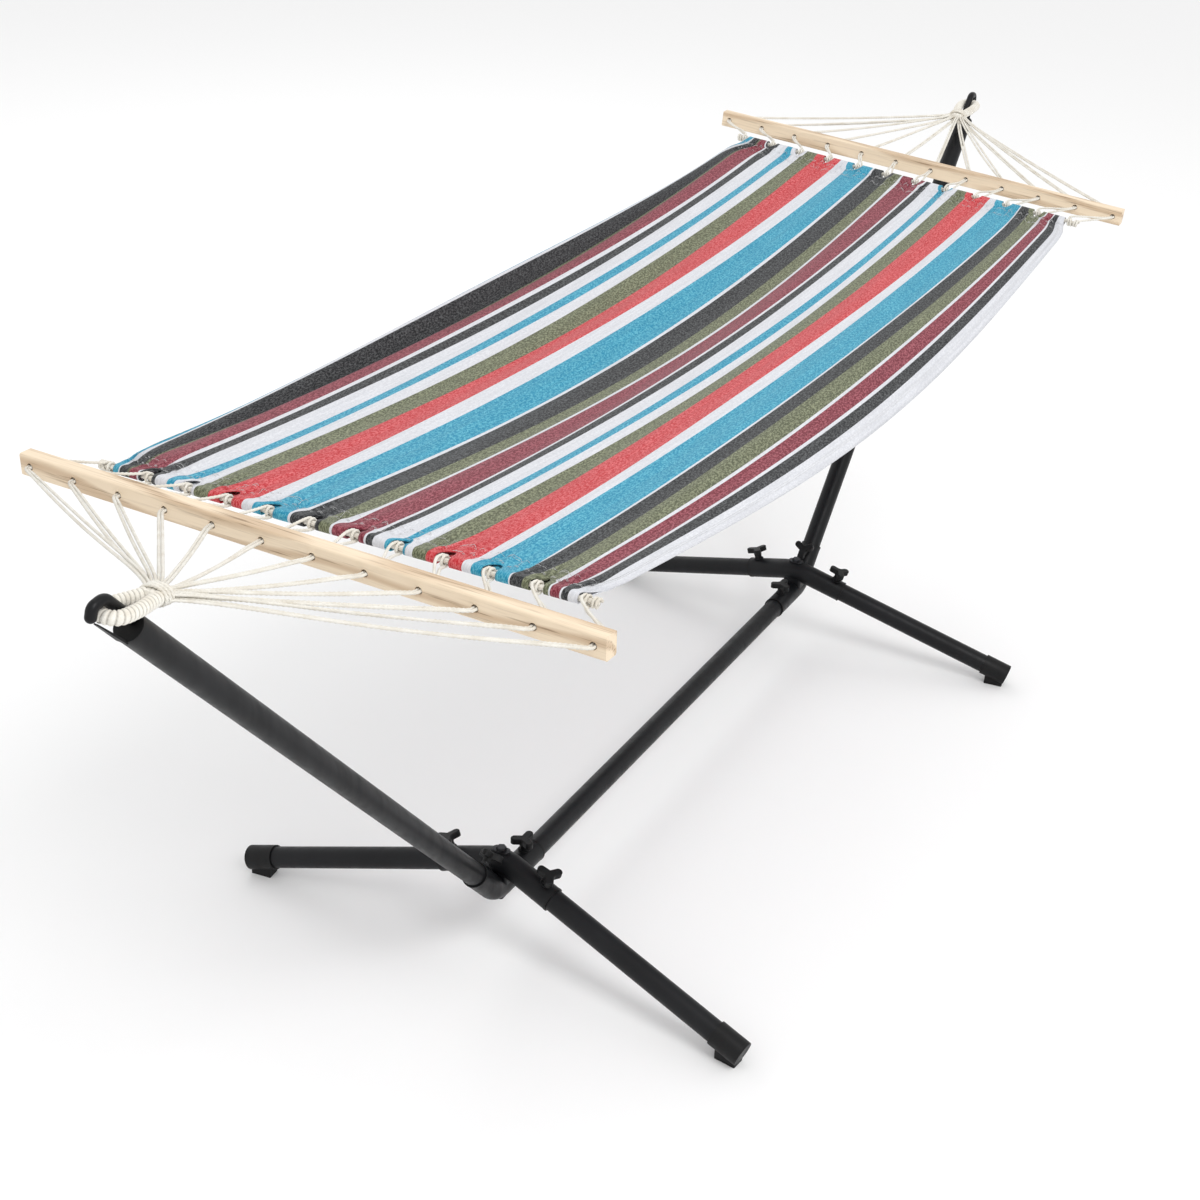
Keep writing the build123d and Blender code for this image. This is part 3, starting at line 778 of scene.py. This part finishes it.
    def build_hem_rope(self) -> None:
        """The rope in the hem's tunnels, with a stopper at each end."""
        label, centre, along = self.end.label, RIGS[self.end].hem_centre, hem_direction(self.end)
        half = HEM_ROPE_LENGTH / 2
        points = [centre + along * (half * t) for t in (-1, -0.6, -0.2, 0.2, 0.6, 1)]
        rope = LaidRope(self.hem_rope, lay=0.024, groove=0.24, facets=12, step=0.0016)
        path = spline_points(points, rope.step)
        body = self.keep(rope.mesh(f"{label}_hem_line", path))
        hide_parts(f"{label}_hem_rope")
        turns, spots, coil_radius, inset = 2, 9, 0.0052, 0.0075
        stop = LaidRope(0.0042, facets=9, step=0.0012)
        level = Vector((1, 0, 0))
        square = along.cross(level).normalized()
        for flank in Flank:
            wind = []
            for index in range(turns * spots + 1):
                angle = math.tau * index / spots
                place = centre + along * (flank.value * (half - inset + stop.diameter * index / spots))
                wind.append(place + (level * math.cos(angle) + square * math.sin(angle)) * coil_radius)
            coil = stop.mesh(f"{label}_hem_stopper_{flank.label}", spline_points(wind, stop.step))
            self.keep(coil)

    def build(self) -> None:
        """Make every rope piece of the end."""
        gone_with = [self.build_eye(), *self.build_throat()]
        self.build_cords()
        self.build_hem_rope()
        LOG.info("%s rope work: %d pieces", self.end.label, len(self.pieces))


# --- cloth -------------------------------------------------------------------------------------
class Yarn(Enum):
    """The dyed warps of the cloth: dye, paler fleck and how much of it shows."""

    BLUE = ((0.012, 0.235, 0.390), (0.15, 0.51, 0.62), 0.80)
    WHITE = ((0.62, 0.63, 0.67), (0.78, 0.79, 0.82), 0.60)
    BLACK = ((0.011, 0.012, 0.014), (0.115, 0.120, 0.124), 0.85)
    OLIVE = ((0.086, 0.096, 0.054), (0.31, 0.33, 0.21), 0.82)
    RED = ((0.480, 0.018, 0.026), (0.76, 0.20, 0.21), 0.76)
    MAROON = ((0.150, 0.014, 0.028), (0.44, 0.13, 0.16), 0.80)


# each stripe's yarn and width in mm, from the left selvedge
STRIPES: list[tuple[Yarn, float]] = [
    (Yarn.BLUE, 24), (Yarn.WHITE, 5), (Yarn.BLACK, 34), (Yarn.OLIVE, 8), (Yarn.MAROON, 34),
    (Yarn.WHITE, 7), (Yarn.BLACK, 13), (Yarn.WHITE, 24), (Yarn.BLUE, 14), (Yarn.WHITE, 17),
    (Yarn.OLIVE, 29), (Yarn.RED, 43), (Yarn.WHITE, 21), (Yarn.BLUE, 46), (Yarn.WHITE, 5),
    (Yarn.BLACK, 31), (Yarn.OLIVE, 21), (Yarn.WHITE, 5), (Yarn.MAROON, 36), (Yarn.WHITE, 4),
    (Yarn.BLACK, 13), (Yarn.WHITE, 23), (Yarn.BLUE, 13), (Yarn.WHITE, 14), (Yarn.OLIVE, 26),
    (Yarn.RED, 41), (Yarn.WHITE, 17), (Yarn.BLUE, 45), (Yarn.WHITE, 3), (Yarn.BLACK, 24),
    (Yarn.OLIVE, 24), (Yarn.WHITE, 4), (Yarn.MAROON, 20), (Yarn.WHITE, 4), (Yarn.BLACK, 14),
    (Yarn.WHITE, 20),
]


@dataclass(frozen=True)
class Station:
    """One place across the cloth at mid-length: flat distance, place across and lift, in mm."""

    flat: float
    across: float
    lift: float


STATIONS = [
    Station(*row) for row in (
        (0, 333, 6), (12, 335, 22), (24, 331.5, 31), (29, 328.5, 27), (46, 320, 10), (63, 314, -4),
        (71, 311, -3), (80, 305, 6), (105, 280, 9), (125, 257, 4), (163, 218, 0), (180, 200, -3),
        (209, 170, -9), (252, 126, 3), (273, 104, -3), (319, 58, -13), (355, 22, -20), (376, 2, -19),
        (417, -40, -4), (457, -80, 0), (484, -106, -1), (510, -131, 5), (551, -172, 17), (568, -188, 16),
        (613, -232, 14), (640, -254, 11), (652, -264, 13), (664, -275, 5), (688, -296, -9),
        (706, -312, -22), (716, -322, -33), (726, -330, -42),
    )
]
HEM_ROWS = (0.0025, 0.005, 0.0075, 0.010, 0.0125, 0.015, 0.017, 0.0185, 0.0195, 0.020, 0.024, 0.029, 0.035,
            0.043, 0.052)


@dataclass
class Cloth:
    """The striped cloth: a sagging sheet with tabs round the hem rope at both ends."""

    yarns: dict[Yarn, bpy.types.Material]
    thread: bpy.types.Material
    tunnel_radius: float = 0.0058
    hem_allowance: float = 0.052
    thickness: float = 0.0012
    column: float = 0.0052
    row: float = 0.0088
    margin: float = 0.060
    gather_reach: float = 0.042
    drawn_left: float = 0.018
    drawn_right: float = 0.015
    stitch_radius: float = 0.00030
    stitch_length: float = 0.0026
    stitch_step: float = 0.0017
    stitch_lift: float = 0.00012

    def __post_init__(self) -> None:
        """Work out the cross-section's smooth lines."""
        self.flat_width = sum(width for _, width in STRIPES) * MM
        fine = np.arange(0, self.flat_width / MM + 0.5, 1.0)
        reach, spread = 14, 4.5
        kernel = np.exp(-0.5 * (np.arange(-reach, reach + 1) / spread) ** 2)
        kernel /= kernel.sum()

        def soften(values: list[float]) -> np.ndarray:
            """The stations' values on the fine scale, with their corners eased."""
            line = np.interp(fine, [s.flat for s in STATIONS], values)
            before, after = line[reach:0:-1], line[-2:-reach - 2:-1]
            padded = np.concatenate([2 * line[0] - before, line, 2 * line[-1] - after])
            return np.convolve(padded, kernel, "valid") * MM

        self._fine = fine * MM
        self._across = soften([s.across for s in STATIONS])
        self._lift = soften([s.lift for s in STATIONS])
        self.near, self.far = (np.array(RIGS[e].hem_centre) for e in (End.NEAR, End.FAR))
        self.length = float(np.linalg.norm(self.far - self.near))
        places = [hem_offset(n) for n in range(CORD_COUNT)][::-1]
        inner = [float(np.interp(-p, -self._across, self._fine)) for p in places[1:-1]]
        self.seams = [0.0, *inner, self.flat_width]

    def hold(self, flat: np.ndarray, depth: np.ndarray, tab: int) -> np.ndarray:
        """Places across the cloth, drawn in by the tab's gather near a hem.

        Args:
            flat: flat distance from the left selvedge.
            depth: distance from the hem rope.
            tab: the tab's number from the left.

        Returns:
            The places across, from the middle line.
        """
        free = np.interp(flat, self._fine, self._across)
        left, right = self.seams[tab], self.seams[tab + 1]
        notch = GAP_WIDTH / 2 * np.sqrt(np.clip(1 - (depth / GAP_DEPTH) ** 2, 0, 1))
        drawn_left = self.drawn_left if tab == 0 else notch
        drawn_right = self.drawn_right if tab == CORD_COUNT - 2 else notch
        edge_left = np.interp(left, self._fine, self._across) - drawn_left
        edge_right = np.interp(right, self._fine, self._across) + drawn_right
        gathered = edge_left + (flat - left) / (right - left) * (edge_right - edge_left)
        pull = np.exp(-((depth / self.gather_reach) ** 2))
        return free * (1 - pull) + gathered * pull

    def point(self, flat: np.ndarray, along: np.ndarray, off: np.ndarray, out: np.ndarray,
              tab: int) -> np.ndarray:
        """Points of the cloth.

        Args:
            flat: flat distance from the left selvedge.
            along: distance along the cloth from the near rope.
            off: distance above the middle surface.
            out: distance past the rope, outboard.
            tab: the tab's number from the left.

        Returns:
            One row of X, Y, Z for each point.
        """
        share = np.clip(along / self.length, 0, 1)
        depth = np.minimum(along, self.length - along)
        across = self.hold(flat, np.clip(depth, 0, None), tab)
        centre = self.near[None, :] * (1 - share)[:, None] + self.far[None, :] * share[:, None]
        centre[:, 2] -= CLOTH_SAG * 4 * share * (1 - share)
        roll = np.radians(RIGS[End.NEAR].hem_roll * (1 - share) + RIGS[End.FAR].hem_roll * share)
        lift = np.interp(flat, self._fine, self._lift) * np.sin(np.pi * share) ** 1.5
        ripple = (0.0016 * np.sin(flat * 61 + 1.3) * np.sin(along * 3.1 + flat * 9)
                  + 0.0010 * np.sin(flat * 143 + along * 5.3 + 0.7))
        pucker = np.exp(-((depth - 0.02) / 0.05) ** 2) * (
            0.0022 * np.sin(flat * 335 + 0.8) + 0.0014 * np.sin(flat * 520 + along * 31))
        pucker *= smoothstep(depth / 0.02)
        lift = lift + ripple * smoothstep(depth / 0.12) + pucker
        slope = np.arctan2(CLOTH_SAG * 4 * (1 - 2 * share), self.length)
        way = np.where(along < self.length / 2, -1.0, 1.0)
        points = centre.copy()
        points[:, 1] += across * np.cos(roll)
        points[:, 2] += across * np.sin(roll) + lift
        points[:, 0] += off * np.sin(slope) + way * out * np.cos(slope)
        points[:, 2] += off * np.cos(slope) + np.abs(out) * np.sin(np.abs(slope)) * np.sign(out)
        return points

    def height(self, along: float) -> float:
        """How far the cloth stands above the middle surface, at a distance along it."""
        depth, layer = min(along, self.length - along), self.thickness * 0.55
        return (self.tunnel_radius - layer) * (1 - float(smoothstep(np.array(depth / 0.034)))) + layer

    def rows(self) -> list[tuple[float, float, float, float]]:
        """Each row's distance along, height, reach past the rope and flat distance, from near to far."""
        radius, end = self.tunnel_radius, self.length - self.margin
        top_near = [(d, self.height(d), 0.0, d) for d in HEM_ROWS]
        under_near = [(d, -self.height(d), 0.0, -d - math.pi * radius) for d in reversed(HEM_ROWS)]
        wrap_near = [(0.0, radius * math.cos(a), max(radius * math.sin(a), 0.0), -radius * a)
                     for a in (math.pi - i * math.pi / 9 for i in range(10))]
        count = int((self.length - 2 * self.margin) / self.row)
        body = [(float(a), self.height(a), 0.0, float(a)) for a in np.linspace(self.margin, end, count)]
        near_side = under_near + wrap_near + top_near
        far_side = [(self.length - a, h, o, self.length - f) for a, h, o, f in reversed(near_side)]
        return near_side + body + far_side

    def build_sheet(self) -> bpy.types.Object:
        """The cloth itself."""
        bounds = np.concatenate([[0], np.cumsum([width for _, width in STRIPES])]) * MM
        rows = np.array(self.rows())
        names = list(Yarn)
        points, uvs, faces, slots = [], [], [], []
        start = 0
        for tab in range(CORD_COUNT - 1):
            left, right = self.seams[tab], self.seams[tab + 1]
            marks = sorted({left, right, *[b for b in bounds if left + 1e-4 < b < right - 1e-4]})
            columns = [marks[0]]
            for low, high in zip(marks, marks[1:]):
                steps = max(1, int(round((high - low) / self.column)))
                columns += [low + (high - low) * (i + 1) / steps for i in range(steps)]
            columns = np.array(columns)
            flat, along = np.meshgrid(columns, rows[:, 0])
            off, out = (np.repeat(rows[:, c][:, None], len(columns), 1) for c in (1, 2))
            points.append(self.point(flat.ravel(), along.ravel(), off.ravel(), out.ravel(), tab))
            uvs.append(np.column_stack([flat.ravel(), np.repeat(rows[:, 3], len(columns))]))
            middles = (columns[1:] + columns[:-1]) / 2
            kinds = [names.index(STRIPES[int(np.searchsorted(bounds, m)) - 1][0]) for m in middles]
            width = len(columns)
            for row in range(len(rows) - 1):
                base = start + row * width
                for col in range(width - 1):
                    faces.append((base + col, base + width + col, base + width + col + 1, base + col + 1))
                slots += kinds
            start += len(rows) * width
        piece = grid_mesh("cloth_sheet", np.vstack(points), faces, np.vstack(uvs))
        for yarn in names:
            piece.data.materials.append(self.yarns[yarn])
        piece.data.polygons.foreach_set("material_index", slots)
        pick(piece)
        bpy.ops.object.mode_set(mode="EDIT")
        bpy.ops.mesh.select_all(action="SELECT")
        bpy.ops.mesh.remove_doubles(threshold=2e-5)
        bpy.ops.mesh.normals_make_consistent(inside=False)
        bpy.ops.object.mode_set(mode="OBJECT")
        shell = piece.modifiers.new("thickness", "SOLIDIFY")
        shell.thickness = self.thickness
        shell.offset = 0
        apply_modifiers(piece)
        return piece

    def stitch_places(self) -> list[tuple[Vector, Vector, Vector]]:
        """Middle, direction and outward normal of every stitch."""
        lines: list[np.ndarray] = []
        width = self.flat_width

        def line(flat: np.ndarray, along: np.ndarray) -> None:
            """Add one seam's points on the upper face."""
            places = []
            for f, a in zip(flat, along):
                tab = int(np.clip(np.searchsorted(self.seams, f) - 1, 0, CORD_COUNT - 2))
                above = self.height(a) + self.thickness / 2 + self.stitch_lift
                one = np.array([f]), np.array([a]), np.array([above]), np.array([0.0])
                places.append(self.point(*one, tab)[0])
            lines.append(np.array(places))

        for depth in (0.0245, 0.0270, 0.0485):
            for way in (depth, self.length - depth):
                count = int(width / self.stitch_step)
                flat = np.linspace(0.003, width - 0.003, count)
                line(flat, way + 0.0007 * np.sin(flat * 90))
        for edge in (0.0085, width - 0.0095, width - 0.0120):
            count = int(self.length / self.stitch_step)
            along = np.linspace(0.03, self.length - 0.03, count)
            line(np.full(count, edge), along)
        for seam in self.seams[1:-1]:
            for home, sign in ((0.0, 1.0), (self.length, -1.0)):
                angle = np.linspace(0.25, math.pi - 0.25, 37)
                line(seam + 0.017 * np.cos(angle), home + sign * (0.024 + 0.030 * np.sin(angle)))
        places = []
        for run in lines:
            for first, second in zip(run[0:-1:2], run[1::2]):
                middle, way = Vector((first + second) / 2), Vector(second - first)
                up = Vector((0, 0, 1))
                way.normalize()
                places.append((middle, way, (up - way * up.dot(way)).normalized()))
        return places

    def build_stitching(self) -> bpy.types.Object:
        """White sewing thread along the hems, selvedges and round the notches."""
        deselect()
        bpy.ops.mesh.primitive_cylinder_add(vertices=5, radius=self.stitch_radius, depth=self.stitch_length,
                                            end_fill_type="NGON")
        model = bpy.context.object
        bpy.ops.object.mode_set(mode="EDIT")
        bpy.ops.mesh.select_all(action="DESELECT")
        bpy.ops.object.mode_set(mode="OBJECT")
        for face in model.data.polygons:
            face.select = abs(face.normal.z) > 0.9
        bpy.ops.object.mode_set(mode="EDIT")
        bpy.ops.mesh.select_mode(type="FACE")
        bpy.ops.mesh.extrude_region_move()
        bpy.ops.object.mode_set(mode="OBJECT")
        shape = []
        for vertex in model.data.vertices:
            tip = vertex.select
            shape.append((vertex.co.x * (0.5 if tip else 1), vertex.co.y * (0.5 if tip else 1),
                          vertex.co.z * (1.25 if tip else 0.8)))
        shape = np.array(shape)
        tiles = [tuple(face.vertices) for face in model.data.polygons]
        bpy.data.objects.remove(model)
        points, faces, uvs = [], [], []
        for index, (middle, way, up) in enumerate(self.stitch_places()):
            side = way.cross(up)
            turn = np.array([side, up, way])
            points.append(shape @ turn + np.array(middle))
            faces += [tuple(v + index * len(shape) for v in tile) for tile in tiles]
            uvs.append(np.column_stack([shape[:, 2] + index * 0.01, shape[:, 0] * 300]))
        piece = grid_mesh("cloth_stitching", np.vstack(points), faces, np.vstack(uvs))
        piece.data.materials.append(self.thread)
        return piece

    def build(self) -> None:
        """Make the cloth and its stitching."""
        sheet = self.build_sheet()
        stitching = self.build_stitching()
        for piece in (sheet, stitching):
            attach(piece, "hammock")
        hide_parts("cloth")


# --- stand and bars ----------------------------------------------------------------------------
@dataclass
class Stand:
    """Tubes, connectors, knobs and feet of the stand, dressed, with their weld beads."""

    steel: bpy.types.Material
    plastic: bpy.types.Material
    bolt: bpy.types.Material
    stud: bpy.types.Material
    bead_radius: float = 0.0013
    nut_radius: float = 0.0078
    sleeve_radius: float = 0.0190
    ripples: int = 21

    def dress(self) -> None:
        """Give every carried-over stand piece its finish."""
        endings = {
            self.plastic: ("_knob", "_foot", "_sleeve_collars", "_hook_plug"),
            self.bolt: ("_hub_bolt", "_hub_nut"),
            self.stud: ("_stud",),
            self.steel: ("centre_beam", "_arm", "_arm_connector", "_leg_connector", "_saddle", "_clamp_nuts",
                         "_hook", "_leg"),
        }
        for name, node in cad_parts.items():
            for material, tails in endings.items():
                if name.endswith(tails):
                    node.data.materials.clear()
                    node.data.materials.append(material)
                    break

    def seats(self, end: End) -> dict[str, tuple[Vector, Vector]]:
        """Base on the sleeve's axis and outward direction of each clamp knob."""
        knee = Vector((end.value * (HUB_X + KNEE_RADIUS * math.sin(ARM_ANGLE)), 0,
                       CROWN_Z - KNEE_RADIUS * math.cos(ARM_ANGLE)))
        arm = Vector((end.value * math.cos(ARM_ANGLE), 0, math.sin(ARM_ANGLE)))
        arm_top = Vector((-end.value * math.sin(ARM_ANGLE), 0, math.cos(ARM_ANGLE)))
        found = {
            "beam": (Vector((end.value * BEAM_SEAT[0], 0, BEAM_SEAT[1])), Vector((0, 0, 1))),
            "arm": (knee + arm * ARM_SEAT, arm_top),
        }
        for flank in Flank:
            top, way = leg_axis(end, flank)
            up = Vector((0, 0, 1)) - way * way.z
            found[f"{flank.label}_leg"] = (top + way * LEG_SEAT, up.normalized())
        return found

    def bead(self, name: str, centre: Vector, axis: Vector) -> None:
        """A weld bead round a nut, with its ripples.

        Args:
            name: the piece's name.
            centre: the bead's middle.
            axis: the nut's axis.
        """
        deselect()
        bpy.ops.mesh.primitive_torus_add(major_segments=64, minor_segments=8, major_radius=self.nut_radius,
                                         minor_radius=self.bead_radius)
        ring = bpy.context.object
        ring.name = ring.data.name = name
        for vertex in ring.data.vertices:
            angle = math.atan2(vertex.co.y, vertex.co.x)
            swell = 1 + 0.05 * math.sin(self.ripples * angle)
            vertex.co.x *= swell
            vertex.co.y *= swell
        ring.rotation_mode = "QUATERNION"
        ring.rotation_quaternion = axis.to_track_quat("Z", "Y")
        ring.location = centre
        settle(ring)
        bpy.ops.object.shade_smooth()
        ring.data.materials.append(self.steel)
        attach(ring, "stand")

    def build(self) -> None:
        """Dress the stand and add the weld beads."""
        self.dress()
        beads = 0
        for end in End:
            for place, (base, outward) in self.seats(end).items():
                self.bead(f"{end.label}_{place}_nut_weld", base + outward * self.sleeve_radius, outward)
                beads += 1
        LOG.info("stand: %d carried-over pieces dressed, %d weld beads", len(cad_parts), beads)


@dataclass
class SpreaderBars:
    """The two wooden bars."""

    woods: dict[End, bpy.types.Material]

    def build(self) -> None:
        """Dress both bars, each with its own grain."""
        for end in End:
            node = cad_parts[f"{end.label}_spreader_bar"]
            node.data.materials.clear()
            node.data.materials.append(self.woods[end])
        LOG.info("spreader bars dressed")


# --- studio ------------------------------------------------------------------------------------
@dataclass
class Studio:
    """Pale floor, soft lights and the camera."""

    place: tuple[float, float, float] = (-2.3036, -1.0678, 1.7117)
    yaw: float = 0.4819
    pitch: float = -0.5017
    roll: float = 0.0439
    lens: float = 53.56
    floor_tone: float = 0.93
    sky_strength: float = 0.95

    def camera(self) -> None:
        """Set the camera where the object is seen from."""
        ahead = Vector((math.cos(self.pitch) * math.cos(self.yaw), math.cos(self.pitch) * math.sin(self.yaw),
                        math.sin(self.pitch)))
        right = ahead.cross(Vector((0, 0, 1))).normalized()
        up = right.cross(ahead)
        c, s = math.cos(self.roll), math.sin(self.roll)
        right, up = right * c + up * s, up * c - right * s
        data = bpy.data.cameras.new("camera")
        data.lens, data.sensor_width = self.lens, 36.0
        data.clip_end = 200
        camera = bpy.data.objects.new("camera", data)
        turn = Matrix((right, up, -ahead)).transposed().to_4x4()
        camera.matrix_world = Matrix.Translation(self.place) @ turn
        bpy.context.scene.collection.objects.link(camera)
        bpy.context.scene.camera = camera

    def light(self, name: str, place: tuple[float, float, float], size: float, power: float) -> None:
        """Add one soft panel that faces the hammock."""
        data = bpy.data.lights.new(name, "AREA")
        data.shape, data.size, data.energy = "DISK", size, power
        lamp = bpy.data.objects.new(name, data)
        lamp.location = place
        lamp.rotation_mode = "QUATERNION"
        lamp.rotation_quaternion = (Vector((0, 0, 0.5)) - Vector(place)).to_track_quat("-Z", "Y")
        bpy.context.scene.collection.objects.link(lamp)

    def build(self) -> None:
        """Make the whole studio."""
        deselect()
        bpy.ops.mesh.primitive_plane_add(size=80)
        floor = bpy.context.object
        floor.name = "studio_floor"
        paper = bpy.data.materials.new("pale_floor")
        paper.use_nodes = True
        shader = next(n for n in paper.node_tree.nodes if n.type == "BSDF_PRINCIPLED")
        shader.inputs["Base Color"].default_value = (*[self.floor_tone] * 3, 1)
        shader.inputs["Roughness"].default_value = 0.9
        floor.data.materials.append(paper)
        world = bpy.data.worlds.new("sky")
        bpy.context.scene.world = world
        world.use_nodes = True
        world.node_tree.nodes["Background"].inputs["Color"].default_value = (1.0, 1.0, 1.0, 1)
        world.node_tree.nodes["Background"].inputs["Strength"].default_value = self.sky_strength
        bpy.context.scene.view_settings.view_transform = "Standard"
        self.light("key", (-1.5, -2.6, 4.2), size=2.2, power=80)
        self.light("fill", (2.8, 2.6, 3.6), size=3.2, power=25)
        self.camera()
        LOG.info("studio ready")


def main() -> None:
    """Build every part of the hammock in order."""
    logging.basicConfig(level=logging.INFO, format="%(name)s: %(message)s")
    mottle_group()
    weave_group()
    Studio().build()
    cotton = CottonTwist("cotton_cord").material()
    for end in End:
        RopeWork(end, cotton, random.Random(SEED + end.value)).build()
    yarns = {y: WovenYarn(f"{y.name.lower()}_yarn", *y.value).material() for y in Yarn}
    thread = CottonTwist("sewing_thread", pale=(0.66, 0.66, 0.66), shade=(0.50, 0.50, 0.51)).material()
    Cloth(yarns, thread).build()
    Stand(
        CoatedSteel("powder_coat", dark=(0.0040, 0.0042, 0.0050), light=(0.0090, 0.0094, 0.0110),
                    roughness=(0.36, 0.50), grain=1500.0, depth=0.0003).material(),
        CoatedSteel("moulded_plastic", dark=(0.0040, 0.0040, 0.0043), light=(0.0075, 0.0075, 0.0080),
                    roughness=(0.42, 0.58), grain=900.0, depth=0.0003).material(),
        CoatedSteel("black_oxide", dark=(0.020, 0.020, 0.022), light=(0.045, 0.045, 0.050),
                    roughness=(0.30, 0.48), grain=700.0, depth=0.0002, metallic=0.8).material(),
        CoatedSteel("zinc_plate", dark=(0.40, 0.41, 0.43), light=(0.55, 0.56, 0.58),
                    roughness=(0.25, 0.42), grain=700.0, depth=0.0002, metallic=1.0).material(),
    ).build()
    SpreaderBars({
        end: AshWood(f"{end.label}_ash", yaw=-RIGS[end].bar_yaw, lift=-RIGS[end].bar_roll).material()
        for end in End
    }).build()


if __name__ == "__main__":
    main()
